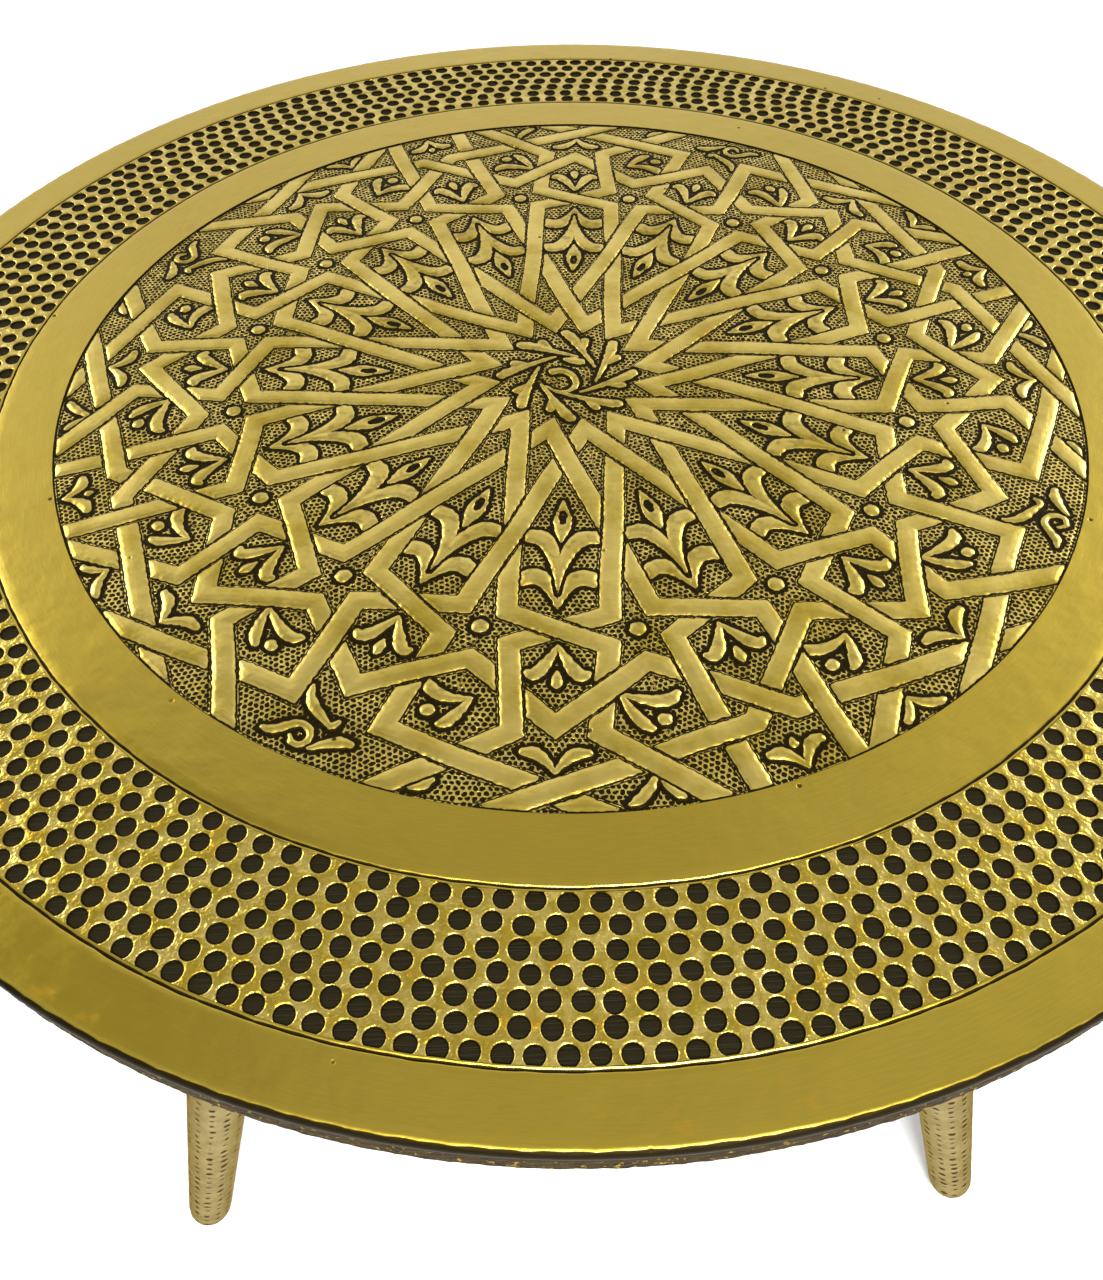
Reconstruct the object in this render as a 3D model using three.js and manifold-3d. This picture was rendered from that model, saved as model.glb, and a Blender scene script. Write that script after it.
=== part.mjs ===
// A round brass tray table: a sheet-brass top with a rolled edge dressed over a wooden disc, a
// hammered band round the disc whose hem is tacked up from below, and four splayed, tapered wooden
// legs clad in hammered brass.
// Millimetres, +Z up. The origin is on the floor, under the centre of the top.

import * as THREE from "three";
import { mergeVertices } from "three/addons/utils/BufferGeometryUtils.js";
import Module from "manifold-3d";

const wasm = await Module();
wasm.setup();

// ---- driving dimensions ----
const HEIGHT = 480; // floor to the top face
const TOP_RADIUS = 355;
const GAP = 0.3; // clearance left between pieces that touch

const SHEET_THICKNESS = 1;
const BEAD_RADIUS = 2.8; // rolled edge of the top sheet
const SKIRT_INSET = 1.6; // how far the skirt sits inside the bead
const SKIRT_DROP = 9.5; // top face to the skirt's lower edge

const BOARD_THICKNESS = 15;
const BAND_THICKNESS = 1;
const BAND_HEM = 13; // how far the band is turned in under the board

const LEG_COUNT = 4;
const LEG_SPLAY = THREE.MathUtils.degToRad(16);
const FOOT_CIRCLE = 326; // radius of the circle through the feet
const FOOT_RADIUS = 13; // round end of a leg
const LEG_TAPER = 0.036; // growth of the leg's radius along its length
const SLEEVE_THICKNESS = 1;
const LEG_TO_BOARD = 14; // middle of the leg's top end to the board

const PAD_RADIUS = 6;
const PAD_CENTRE_THICKNESS = 1.2;

const PLATE_SIDE = 80;
const PLATE_THICKNESS = 3;
const PLATE_SEAT_RADIUS = 25;
const BOLT_RADIUS = 4;
const BOLT_IN_LEG = 45;
const SCREW_SPACING = 62;
const SCREW_RADIUS = 2;
const SCREW_DEPTH = 11; // length in the board
const SCREW_HEAD_RADIUS = 4;
const SCREW_HEAD_HEIGHT = 2.5;

const TACK_COUNT = 16;
const TACK_RADIUS = 0.8;
const TACK_LENGTH = 9;
const TACK_TIP = 2; // tapered end of the shank
const TACK_HEAD_RADIUS = 2.2;
const TACK_HEAD_HEIGHT = 0.9;
const TACK_INSET = 6.5; // from the board's edge

// ---- derived places ----
const sheetUnderside = HEIGHT - SHEET_THICKNESS;
const skirtOuter = TOP_RADIUS - SKIRT_INSET;
const skirtInner = skirtOuter - SHEET_THICKNESS;
const boardRadius = skirtInner - GAP;
const boardTop = sheetUnderside - GAP;
const boardBottom = boardTop - BOARD_THICKNESS;
const bandTop = HEIGHT - SKIRT_DROP - GAP;
const bandInner = boardRadius + GAP;
const bandOuter = bandInner + BAND_THICKNESS;
const hemTop = boardBottom - GAP;
const hemBottom = hemTop - BAND_THICKNESS;
const tackCircle = boardRadius - TACK_INSET;
const tackSeat = hemBottom - GAP; // top of a tack's head

const footHeight = PAD_CENTRE_THICKNESS + GAP + FOOT_RADIUS; // centre of a leg's round end
const legLength = (boardBottom - LEG_TO_BOARD - footHeight) / Math.cos(LEG_SPLAY);
const legTopRadius = FOOT_RADIUS + LEG_TAPER * legLength;
const plateTop = boardBottom - GAP;
const plateBottom = plateTop - PLATE_THICKNESS;
const plateX = FOOT_CIRCLE - Math.tan(LEG_SPLAY) * (plateBottom - footHeight);

const ROUND_TOP = 72; // facets round the top
const ROUND_LEG = 20;
const ROUND_SMALL = 10;
const ARC_STEPS = 4;
const BEAD_STEPS = 3;

// ---- colours ----
const materials = {
  brass: new THREE.MeshStandardMaterial({ color: 0xc2a24a, roughness: 0.28, metalness: 1 }),
  agedBrass: new THREE.MeshStandardMaterial({ color: 0x6b5626, roughness: 0.45, metalness: 1 }),
  legBrass: new THREE.MeshStandardMaterial({ color: 0xcdb67a, roughness: 0.4, metalness: 1 }),
  board: new THREE.MeshStandardMaterial({ color: 0x3a2a1c, roughness: 0.8, metalness: 0 }),
  turnedWood: new THREE.MeshStandardMaterial({ color: 0xa67c4e, roughness: 0.7, metalness: 0 }),
  steel: new THREE.MeshStandardMaterial({ color: 0x8d9094, roughness: 0.4, metalness: 1 }),
  rubber: new THREE.MeshStandardMaterial({ color: 0x1c1b1a, roughness: 0.85, metalness: 0 }),
};

// ---- geometry helpers ----
const point = (radius, height) => new THREE.Vector2(radius, height);

// Points of an arc in a profile, from one angle to another in degrees, with 0 pointing outwards.
function arc(centreRadius, centreHeight, radius, fromDeg, toDeg, steps = ARC_STEPS) {
  return Array.from({ length: steps + 1 }, (_, i) => {
    const angle = THREE.MathUtils.degToRad(fromDeg + ((toDeg - fromDeg) * i) / steps);
    return point(centreRadius + radius * Math.cos(angle), centreHeight + radius * Math.sin(angle));
  });
}

// A profile of (radius, height) points turned about +Z.
function turned(profile, facets) {
  return new THREE.LatheGeometry(profile, facets).rotateX(Math.PI / 2);
}

function rod(radius, fromHeight, toHeight, facets = ROUND_SMALL) {
  const profile = [
    point(0, fromHeight), point(radius, fromHeight), point(radius, toHeight), point(0, toHeight),
  ];
  return turned(profile, facets);
}

function toSolid(geometry) {
  const bare = geometry.clone();
  for (const name of ["normal", "uv"]) bare.deleteAttribute(name);
  const merged = mergeVertices(bare, 1e-4);
  const mesh = new wasm.Mesh({
    numProp: 3,
    vertProperties: new Float32Array(merged.attributes.position.array),
    triVerts: new Uint32Array(merged.index.array),
  });
  return new wasm.Manifold(mesh);
}

function toGeometry(solid) {
  const mesh = solid.getMesh();
  const geometry = new THREE.BufferGeometry();
  geometry.setAttribute("position", new THREE.BufferAttribute(mesh.vertProperties, 3));
  geometry.setIndex(new THREE.BufferAttribute(mesh.triVerts, 1));
  geometry.computeVertexNormals();
  return geometry;
}

function piece(name, geometry, material) {
  const mesh = new THREE.Mesh(geometry, material);
  mesh.name = name;
  return mesh;
}

// ---- places that repeat ----
const legAngles = Array.from({ length: LEG_COUNT }, (_, i) => (Math.PI * 2 * (i + 0.5)) / LEG_COUNT);
const tackAngles = Array.from({ length: TACK_COUNT }, (_, i) => (Math.PI * 2 * (i + 0.5)) / TACK_COUNT);
const screwOffsets = [-1, 1].flatMap((sx) =>
  [-1, 1].map((sy) => [(sx * SCREW_SPACING) / 2, (sy * SCREW_SPACING) / 2]),
);

// ---- the top ----
function topSheet() {
  const beadCentre = TOP_RADIUS - BEAD_RADIUS;
  const beadHeight = HEIGHT - BEAD_RADIUS;
  const beadStart = -THREE.MathUtils.radToDeg(Math.acos((skirtOuter - beadCentre) / BEAD_RADIUS));
  const profile = [
    point(0, sheetUnderside),
    point(skirtInner, sheetUnderside),
    point(skirtInner, HEIGHT - SKIRT_DROP),
    point(skirtOuter, HEIGHT - SKIRT_DROP),
    ...arc(beadCentre, beadHeight, BEAD_RADIUS, beadStart, 0, BEAD_STEPS),
    ...arc(beadCentre, beadHeight, BEAD_RADIUS, 0, 90, BEAD_STEPS).slice(1),
    point(0, HEIGHT),
  ];
  return turned(profile, ROUND_TOP);
}

function screwHole() {
  return rod(SCREW_RADIUS + GAP, boardBottom - 1, boardBottom + SCREW_DEPTH + 1, 8);
}

// A hole for a tack's shank, up through the hem and into the board.
function tackHole(angle) {
  const hole = rod(TACK_RADIUS + GAP, hemBottom - 1, tackSeat + TACK_LENGTH + 1, 8);
  return toSolid(hole.translate(tackCircle, 0, 0).rotateZ(angle));
}

function woodDisc() {
  let disc = toSolid(rod(boardRadius, boardBottom, boardTop, ROUND_TOP));
  for (const angle of legAngles)
    for (const [dx, dy] of screwOffsets) {
      disc = disc.subtract(toSolid(screwHole().translate(plateX + dx, dy, 0).rotateZ(angle)));
    }
  for (const angle of tackAngles) disc = disc.subtract(tackHole(angle));
  return toGeometry(disc);
}

// The band's wall stands against the board's edge, and its hem is turned in underneath.
function edgeBand() {
  const profile = [
    point(bandInner - BAND_HEM, hemBottom), point(bandOuter, hemBottom),
    point(bandOuter, bandTop), point(bandInner, bandTop), point(bandInner, hemTop),
    point(bandInner - BAND_HEM, hemTop), point(bandInner - BAND_HEM, hemBottom),
  ];
  let band = toSolid(turned(profile, ROUND_TOP));
  for (const angle of tackAngles) band = band.subtract(tackHole(angle));
  return toGeometry(band);
}

// A tack driven upwards, with a low domed head under the hem.
function edgeTack(angle) {
  const profile = [
    point(0, tackSeat - TACK_HEAD_HEIGHT),
    point(TACK_HEAD_RADIUS * 0.6, tackSeat - TACK_HEAD_HEIGHT * 0.8),
    point(TACK_HEAD_RADIUS, tackSeat),
    point(TACK_RADIUS, tackSeat),
    point(TACK_RADIUS, tackSeat + TACK_LENGTH - TACK_TIP),
    point(0, tackSeat + TACK_LENGTH),
  ];
  return turned(profile, 8).translate(tackCircle, 0, 0).rotateZ(angle);
}

// ---- a leg, along its own axis, with the centre of its round end at 0 ----
function legSleeve() {
  const inside = FOOT_RADIUS - SLEEVE_THICKNESS;
  const profile = [
    ...arc(0, 0, FOOT_RADIUS, -90, 0),
    point(legTopRadius, legLength),
    point(legTopRadius - SLEEVE_THICKNESS, legLength),
    ...arc(0, 0, inside, 0, -90),
  ];
  return turned(profile, ROUND_LEG);
}

function legCore() {
  const skin = SLEEVE_THICKNESS + GAP;
  const boreRadius = BOLT_RADIUS + GAP;
  const boreDepth = legLength - BOLT_IN_LEG - 2;
  const profile = [
    ...arc(0, 0, FOOT_RADIUS - skin, -90, 0),
    point(legTopRadius - skin, legLength),
    point(boreRadius, legLength),
    point(boreRadius, boreDepth),
    point(0, boreDepth),
  ];
  return turned(profile, ROUND_LEG);
}

function legBolt() {
  const end = (plateTop - 1 - footHeight) / Math.cos(LEG_SPLAY);
  return rod(BOLT_RADIUS, legLength - BOLT_IN_LEG, end, 12);
}

// Carries a leg's own geometry to its place on the +X side of the table.
function leanIn(geometry) {
  return geometry.rotateY(-LEG_SPLAY).translate(FOOT_CIRCLE, 0, footHeight);
}

// The angled plate on the +X side: a flat flange, and a wedge whose face is square to the leg.
function legPlate() {
  const flange = new THREE.BoxGeometry(PLATE_SIDE, PLATE_SIDE, PLATE_THICKNESS);
  flange.translate(plateX, 0, plateTop - PLATE_THICKNESS / 2);
  const overshoot = PLATE_SIDE;
  const seat = leanIn(rod(PLATE_SEAT_RADIUS, legLength + GAP, legLength + overshoot, ROUND_LEG));
  const above = new THREE.BoxGeometry(4 * PLATE_SIDE, 4 * PLATE_SIDE, 4 * PLATE_SIDE);
  above.translate(plateX, 0, plateTop - PLATE_THICKNESS / 2 + 2 * PLATE_SIDE);
  const bore = leanIn(rod(BOLT_RADIUS + GAP, legLength - 1, legLength + overshoot, 12));
  let plate = toSolid(seat).subtract(toSolid(above)).add(toSolid(flange)).subtract(toSolid(bore));
  for (const [dx, dy] of screwOffsets) {
    const hole = rod(SCREW_RADIUS + GAP, plateBottom - 1, plateTop + 1);
    plate = plate.subtract(toSolid(hole.translate(plateX + dx, dy, 0)));
  }
  return toGeometry(plate);
}

function plateScrew() {
  const seat = plateBottom - GAP;
  const profile = [
    point(0, seat - SCREW_HEAD_HEIGHT),
    point(SCREW_HEAD_RADIUS * 0.7, seat - SCREW_HEAD_HEIGHT),
    point(SCREW_HEAD_RADIUS, seat - SCREW_HEAD_HEIGHT * 0.4),
    point(SCREW_HEAD_RADIUS, seat),
    point(SCREW_RADIUS, seat),
    point(SCREW_RADIUS, boardBottom + SCREW_DEPTH - 3),
    point(0, boardBottom + SCREW_DEPTH),
  ];
  return turned(profile, ROUND_SMALL);
}

// A rubber pad under a foot, flat below and cupped above to take the leg's round end.
function footPad() {
  const cup = FOOT_RADIUS + GAP;
  const rimDeg = THREE.MathUtils.radToDeg(Math.acos(PAD_RADIUS / cup));
  const profile = [
    point(0, 0), point(PAD_RADIUS, 0),
    ...arc(0, footHeight, cup, -rimDeg, -90),
  ];
  return turned(profile, 16);
}

// ---- assembly ----
const table = new THREE.Group();
table.add(piece("top_sheet", topSheet(), materials.brass));
table.add(piece("wood_disc", woodDisc(), materials.board));
table.add(piece("edge_band", edgeBand(), materials.agedBrass));
tackAngles.forEach((angle, i) => {
  table.add(piece(`edge_tack_${i + 1}`, edgeTack(angle), materials.agedBrass));
});

legAngles.forEach((angle, i) => {
  const corner = new THREE.Group();
  corner.rotation.z = angle;
  corner.add(piece(`leg_plate_${i + 1}`, legPlate(), materials.steel));
  screwOffsets.forEach(([dx, dy], j) => {
    const screw = piece(`plate_screw_${i + 1}_${j + 1}`, plateScrew(), materials.steel);
    screw.position.set(plateX + dx, dy, 0);
    corner.add(screw);
  });
  const pad = piece(`foot_pad_${i + 1}`, footPad(), materials.rubber);
  pad.position.x = FOOT_CIRCLE;
  corner.add(pad);

  const leg = new THREE.Group();
  leg.position.set(FOOT_CIRCLE, 0, footHeight);
  leg.rotation.y = -LEG_SPLAY;
  leg.add(piece(`leg_sleeve_${i + 1}`, legSleeve(), materials.legBrass));
  leg.add(piece(`leg_core_${i + 1}`, legCore(), materials.turnedWood));
  leg.add(piece(`leg_bolt_${i + 1}`, legBolt(), materials.steel));
  corner.add(leg);
  table.add(corner);
});

export default table;
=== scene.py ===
import math

import bpy
import numpy as np
from bpy.props import FloatProperty, FloatVectorProperty, IntProperty, PointerProperty
from mathutils import Matrix, Vector


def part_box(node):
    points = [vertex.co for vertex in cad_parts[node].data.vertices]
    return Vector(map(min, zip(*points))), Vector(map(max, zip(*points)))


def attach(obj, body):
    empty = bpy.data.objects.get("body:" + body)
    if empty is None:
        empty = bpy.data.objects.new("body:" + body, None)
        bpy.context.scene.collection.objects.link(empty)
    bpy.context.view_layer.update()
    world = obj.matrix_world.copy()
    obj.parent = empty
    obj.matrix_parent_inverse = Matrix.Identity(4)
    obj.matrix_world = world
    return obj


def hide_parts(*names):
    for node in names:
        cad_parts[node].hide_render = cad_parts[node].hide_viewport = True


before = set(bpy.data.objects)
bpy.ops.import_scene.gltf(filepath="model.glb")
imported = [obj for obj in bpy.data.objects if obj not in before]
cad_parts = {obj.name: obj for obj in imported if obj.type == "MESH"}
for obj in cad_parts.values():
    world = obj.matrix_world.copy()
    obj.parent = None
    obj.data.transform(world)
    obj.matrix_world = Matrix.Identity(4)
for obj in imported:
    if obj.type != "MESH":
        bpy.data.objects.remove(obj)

bl_info = {
    "name": "Brass Tray Table",
    "version": (1, 0, 0),
    "blender": (4, 5, 0),
    "location": "View3D > Sidebar > Tray Table",
    "description": "A round chased and perforated brass table on four punched legs",
    "category": "Add Mesh",
}

BODY = "root"
TURN = 2 * math.pi
MM = 0.001

# ---- places taken from the frame ----
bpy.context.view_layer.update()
SHEET_LOW, SHEET_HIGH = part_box("top_sheet")
BAND_LOW, BAND_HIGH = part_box("edge_band")
BOARD_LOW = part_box("wood_disc")[0]
TOP = SHEET_HIGH.z
TOP_RADIUS = SHEET_HIGH.x
SHEET = 1.0 * MM
LEGS = 4


# ---- sizes and colours that a maker would change ----
def length(name, description, default):
    return FloatProperty(name=name, description=description, default=default, unit="LENGTH", precision=5)


def angle(name, description, degrees):
    default = math.radians(degrees)
    return FloatProperty(name=name, description=description, default=default, unit="ROTATION")


def share(name, description, default):
    return FloatProperty(name=name, description=description, default=default, min=0.0)


def count(name, description, default):
    return IntProperty(name=name, description=description, default=default, min=0)


def colour(name, description, default):
    kept = {"size": 4, "subtype": "COLOR", "min": 0.0, "max": 1.0}
    return FloatVectorProperty(name=name, description=description, default=(*default, 1.0), **kept)


class MedallionSizes(bpy.types.PropertyGroup):
    radius: length("Radius", "Edge of the chased star", 243.2 * MM)
    strap: length("Strap width", "Width of the interlaced straps", 8.7 * MM)
    parting: length("Parting", "Cut between a strap and the one that passes over it", 1.5 * MM)
    depth: length("Depth", "Depth of the chased ground", 1.1 * MM)
    floor: length("Floor", "Depth of the sheet's underside under the relief", 1.25 * MM)
    mesh: length("Mesh", "Distance between the points of the relief", 0.75 * MM)
    turn: angle("Turn", "Direction of the first main axis of the star", 18.9)


class SheetSizes(bpy.types.PropertyGroup):
    inner_line: length("Inner line", "Radius of the engraved line inside the holes", 271.5 * MM)
    outer_line: length("Outer line", "Radius of the engraved line outside the holes", 331.0 * MM)
    line_width: length("Line width", "Width of an engraved line", 2.0 * MM)
    line_depth: length("Line depth", "Depth of an engraved line", 0.6 * MM)
    rows: count("Rows", "Rows of punched holes", 7)
    first_row: length("First row", "Radius of the inner row of holes", 276.1 * MM)
    row_step: length("Row step", "Distance between rows", 8.4 * MM)
    first_count: count("First count", "Holes in the inner row", 160)
    count_step: share("Count step", "Holes added from row to row", 7.5)
    hole: length("Hole", "Radius of a hole at its bottom", 3.45 * MM)
    lip: length("Lip", "Radius of the rounded mouth of a hole", 4.65 * MM)
    wander: length("Wander", "How far a hole strays from its place", 0.45 * MM)
    seed: count("Seed", "Picks the holes' irregular places", 7)
    bead: length("Bead", "Radius of the rolled edge", 2.8 * MM)
    skirt_inset: length("Skirt inset", "How far the skirt stands inside the bead", 1.6 * MM)


class EdgeSizes(bpy.types.PropertyGroup):
    crinkle: length("Crinkle", "Depth of the hammer marks on the band", 0.45 * MM)
    grain: length("Grain", "Size of the hammer marks", 3.2 * MM)


class LegSizes(bpy.types.PropertyGroup):
    columns: count("Columns", "Columns of punch marks round a leg", 12)
    pitch: length("Pitch", "Distance between punch marks along a leg", 5.9 * MM)
    mark_length: length("Mark length", "Half the length of a punch mark round the leg", 2.2 * MM)
    mark_width: length("Mark width", "Half the width of a punch mark", 1.15 * MM)
    depth: length("Depth", "Depth of a punch mark", 0.55 * MM)


class FixingSizes(bpy.types.PropertyGroup):
    screw_head: length("Screw head", "Radius of a screw's head", 4 * MM)
    screw_rise: length("Screw rise", "Height of a screw's head", 2.5 * MM)
    screw_shank: length("Screw shank", "Radius of a screw's shank", 2 * MM)
    recess: length("Recess", "Length of the cross recess in a screw's head", 4.4 * MM)
    tack_head: length("Tack head", "Radius of a tack's head", 2.2 * MM)
    tack_rise: length("Tack rise", "Height of a tack's head", 0.9 * MM)
    tack_shank: length("Tack shank", "Radius of a tack's shank", 0.8 * MM)


class Colours(bpy.types.PropertyGroup):
    brass: colour("Brass", "Polished brass", (0.66, 0.485, 0.05))
    deep_brass: colour("Deep brass", "Polished brass where it is thicker with wax", (0.54, 0.375, 0.022))
    # Painted sheen: pale brass is a paler, whiter copy of the brass, mixed in patches to stand for brighter
    # reflections.
    pale_sheen_brass: colour("Pale brass", "Rubbed brass on the chased work", (0.95, 0.74, 0.20))
    patina: colour("Patina", "Dark ground between the chased straps", (0.020, 0.014, 0.004))
    stain: colour("Stain", "Orange heat and polish stains", (0.55, 0.25, 0.006))
    # Painted shadow: the skirt colour is aged dark brown brass, made darker still to stand for the shadow
    # under the rolled bead.
    skirt: colour("Skirt", "Browned brass under the rolled edge", (0.026, 0.014, 0.003))
    band: colour("Band", "Browned hammered band", (0.050, 0.034, 0.010))
    leg: colour("Leg", "Pale brass of the legs", (0.32, 0.262, 0.138))
    leg_mark: colour("Leg mark", "Dark in the punch marks", (0.060, 0.040, 0.010))
    board: colour("Board", "Dark stained board", (0.013, 0.010, 0.0025))
    wood: colour("Wood", "Turned wood inside the legs", (0.39, 0.22, 0.09))
    steel: colour("Steel", "Zinc plated steel", (0.42, 0.43, 0.45))
    rubber: colour("Rubber", "Foot pads", (0.018, 0.017, 0.016))


class StageSettings(bpy.types.PropertyGroup):
    distance: length("Distance", "Camera to the table's middle line, over the floor", 474.6 * MM)
    height: length("Height", "Camera over the floor", 870.4 * MM)
    around: angle("Around", "Direction of the camera from the table's middle", -92.36)
    heading: angle("Heading", "Turn of the camera from straight across", -1.3)
    down: angle("Down", "Slope of the camera's view", 45.26)
    roll: angle("Roll", "Tilt of the camera", -0.65)
    lens: FloatProperty(name="Lens", description="Focal length in millimetres", default=35.19)
    shift: FloatProperty(name="Shift", description="Vertical shift of the view", default=-0.1094)


GROUPS = {
    "tray_medallion": MedallionSizes,
    "tray_sheet": SheetSizes,
    "tray_edge": EdgeSizes,
    "tray_leg": LegSizes,
    "tray_fixings": FixingSizes,
    "tray_colours": Colours,
    "tray_stage": StageSettings,
}


# ---- nodes as expressions ----
class Wire:
    """An output socket. Arithmetic on it adds Math nodes to its tree."""

    def __init__(self, web, socket):
        self.web = web
        self.socket = socket

    def math(self, operation, *values, clamp=False):
        settings = {"operation": operation, "use_clamp": clamp}
        return self.web.node("ShaderNodeMath", settings, dict(enumerate(values)))

    def __add__(self, other):
        return self.math("ADD", self, other)

    def __radd__(self, other):
        return self.math("ADD", other, self)

    def __sub__(self, other):
        return self.math("SUBTRACT", self, other)

    def __rsub__(self, other):
        return self.math("SUBTRACT", other, self)

    def __mul__(self, other):
        return self.math("MULTIPLY", self, other)

    def __rmul__(self, other):
        return self.math("MULTIPLY", other, self)

    def __truediv__(self, other):
        return self.math("DIVIDE", self, other)

    def __pow__(self, other):
        return self.math("POWER", self, other)

    def clamped(self):
        return self.math("ADD", self, 0.0, clamp=True)

    def greater(self, other):
        return self.math("MAXIMUM", self, other)

    def lesser(self, other):
        return self.math("MINIMUM", self, other)

    def ramp(self, low, high):
        """0 below low and 1 above high, smooth between. low may be the greater one."""
        if low > high:
            return 1.0 - self.ramp(high, low)
        sockets = {"Value": self, "From Min": low, "From Max": high}
        return self.web.node("ShaderNodeMapRange", {"interpolation_type": "SMOOTHSTEP"}, sockets)

    def other(self, name):
        """Another output of the same node."""
        return Wire(self.web, find(self.socket.node.outputs, name))


def find(sockets, key):
    """A socket by its number, identifier or name."""
    if isinstance(key, int):
        return sockets[key]
    for socket in sockets:
        if socket.identifier == key:
            return socket
    return next(s for s in sockets if s.name == key and s.enabled)


class Web:
    """A node tree that is being built."""

    def __init__(self, tree):
        self.tree = tree

    def node(self, kind, settings=None, sockets=None, out=0):
        """Adds a node: its settings first, then the values or links of its sockets."""
        made = self.tree.nodes.new(kind)
        for key, value in (settings or {}).items():
            setattr(made, key, value)
        for key, value in (sockets or {}).items():
            socket = find(made.inputs, key)
            for one in value if isinstance(value, list) else [value]:
                if isinstance(one, Wire):
                    self.tree.links.new(one.socket, socket)
                else:
                    socket.default_value = one
        return Wire(self, find(made.outputs, out))

    def vector(self, operation, *values, out=0):
        return self.node("ShaderNodeVectorMath", {"operation": operation}, dict(enumerate(values)), out)

    def scaled(self, vector, factors):
        return self.vector("MULTIPLY", vector, factors)

    def noise(self, vector, scale, detail=3.0, roughness=0.5, distortion=0.0):
        sockets = {"Vector": vector, "Scale": scale, "Detail": detail}
        sockets |= {"Roughness": roughness, "Distortion": distortion}
        return self.node("ShaderNodeTexNoise", None, sockets)

    def cells(self, vector, scale):
        return self.node("ShaderNodeTexVoronoi", None, {"Vector": vector, "Scale": scale})

    def staggered(self, point, pitch):
        """Distance to the nearest dot of staggered rows, as a part of their pitch."""
        nearest = None
        for shift in (0.0, 0.5):
            factors = (1.0 / pitch, 1.0 / (pitch * 3.0 ** 0.5), 0.0)
            moved = self.vector("ADD", self.scaled(point, factors), (shift, shift, 0.0))
            part = self.vector("SUBTRACT", self.vector("FRACTION", moved), (0.5, 0.5, 0.0))
            away = self.vector("LENGTH", self.scaled(part, (1.0, 3.0 ** 0.5, 0.0)), out="Value")
            nearest = away if nearest is None else nearest.lesser(away)
        return nearest

    def mix(self, factor, a, b):
        sockets = {"Factor_Float": factor, "A_Color": a, "B_Color": b}
        return self.node("ShaderNodeMix", {"data_type": "RGBA"}, sockets, "Result_Color")

    def attribute(self, name):
        return self.node("ShaderNodeAttribute", {"attribute_name": name}, None, "Fac")

    def joined(self, x, y, z):
        return self.node("ShaderNodeCombineXYZ", None, {0: x, 1: y, 2: z})

    def split(self, vector):
        """X of a vector. Its other("Y") and other("Z") are the other parts."""
        return self.node("ShaderNodeSeparateXYZ", None, {0: vector})

    def times(self, vector, factor):
        """A vector made longer or shorter by one factor."""
        return self.node("ShaderNodeVectorMath", {"operation": "SCALE"}, {0: vector, "Scale": factor})


class Finish(Web):
    """A material under construction, with its object coordinates at hand."""

    def __init__(self, name):
        self.material = bpy.data.materials.new(name)
        self.material.use_nodes = True
        super().__init__(self.material.node_tree)
        self.tree.nodes.clear()
        self.place = self.node("ShaderNodeTexCoord", None, None, "Object")
        self.x = self.split(self.place)
        self.y = self.x.other("Y")
        self.z = self.x.other("Z")

    def polar(self):
        """Radius and angle about the table's axis."""
        radius = (self.x * self.x + self.y * self.y) ** 0.5
        return radius, self.x.math("ARCTAN2", self.y, self.x)

    def done(self, sockets, height=None, distance=0.0):
        """Ends the material. height in shares of distance, in metres, feeds its bumps."""
        if height is not None:
            bump = {"Height": height, "Distance": distance}
            sockets["Normal"] = self.node("ShaderNodeBump", None, bump)
        shader = self.node("ShaderNodeBsdfPrincipled", None, sockets)
        output = self.tree.nodes.new("ShaderNodeOutputMaterial")
        self.tree.links.new(shader.socket, output.inputs["Surface"])
        return self.material


# ---- finishes ----
def toned(tint, factor):
    """A colour made darker or lighter."""
    return (*(min(1.0, factor * c) for c in tint[:3]), 1.0)


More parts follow.
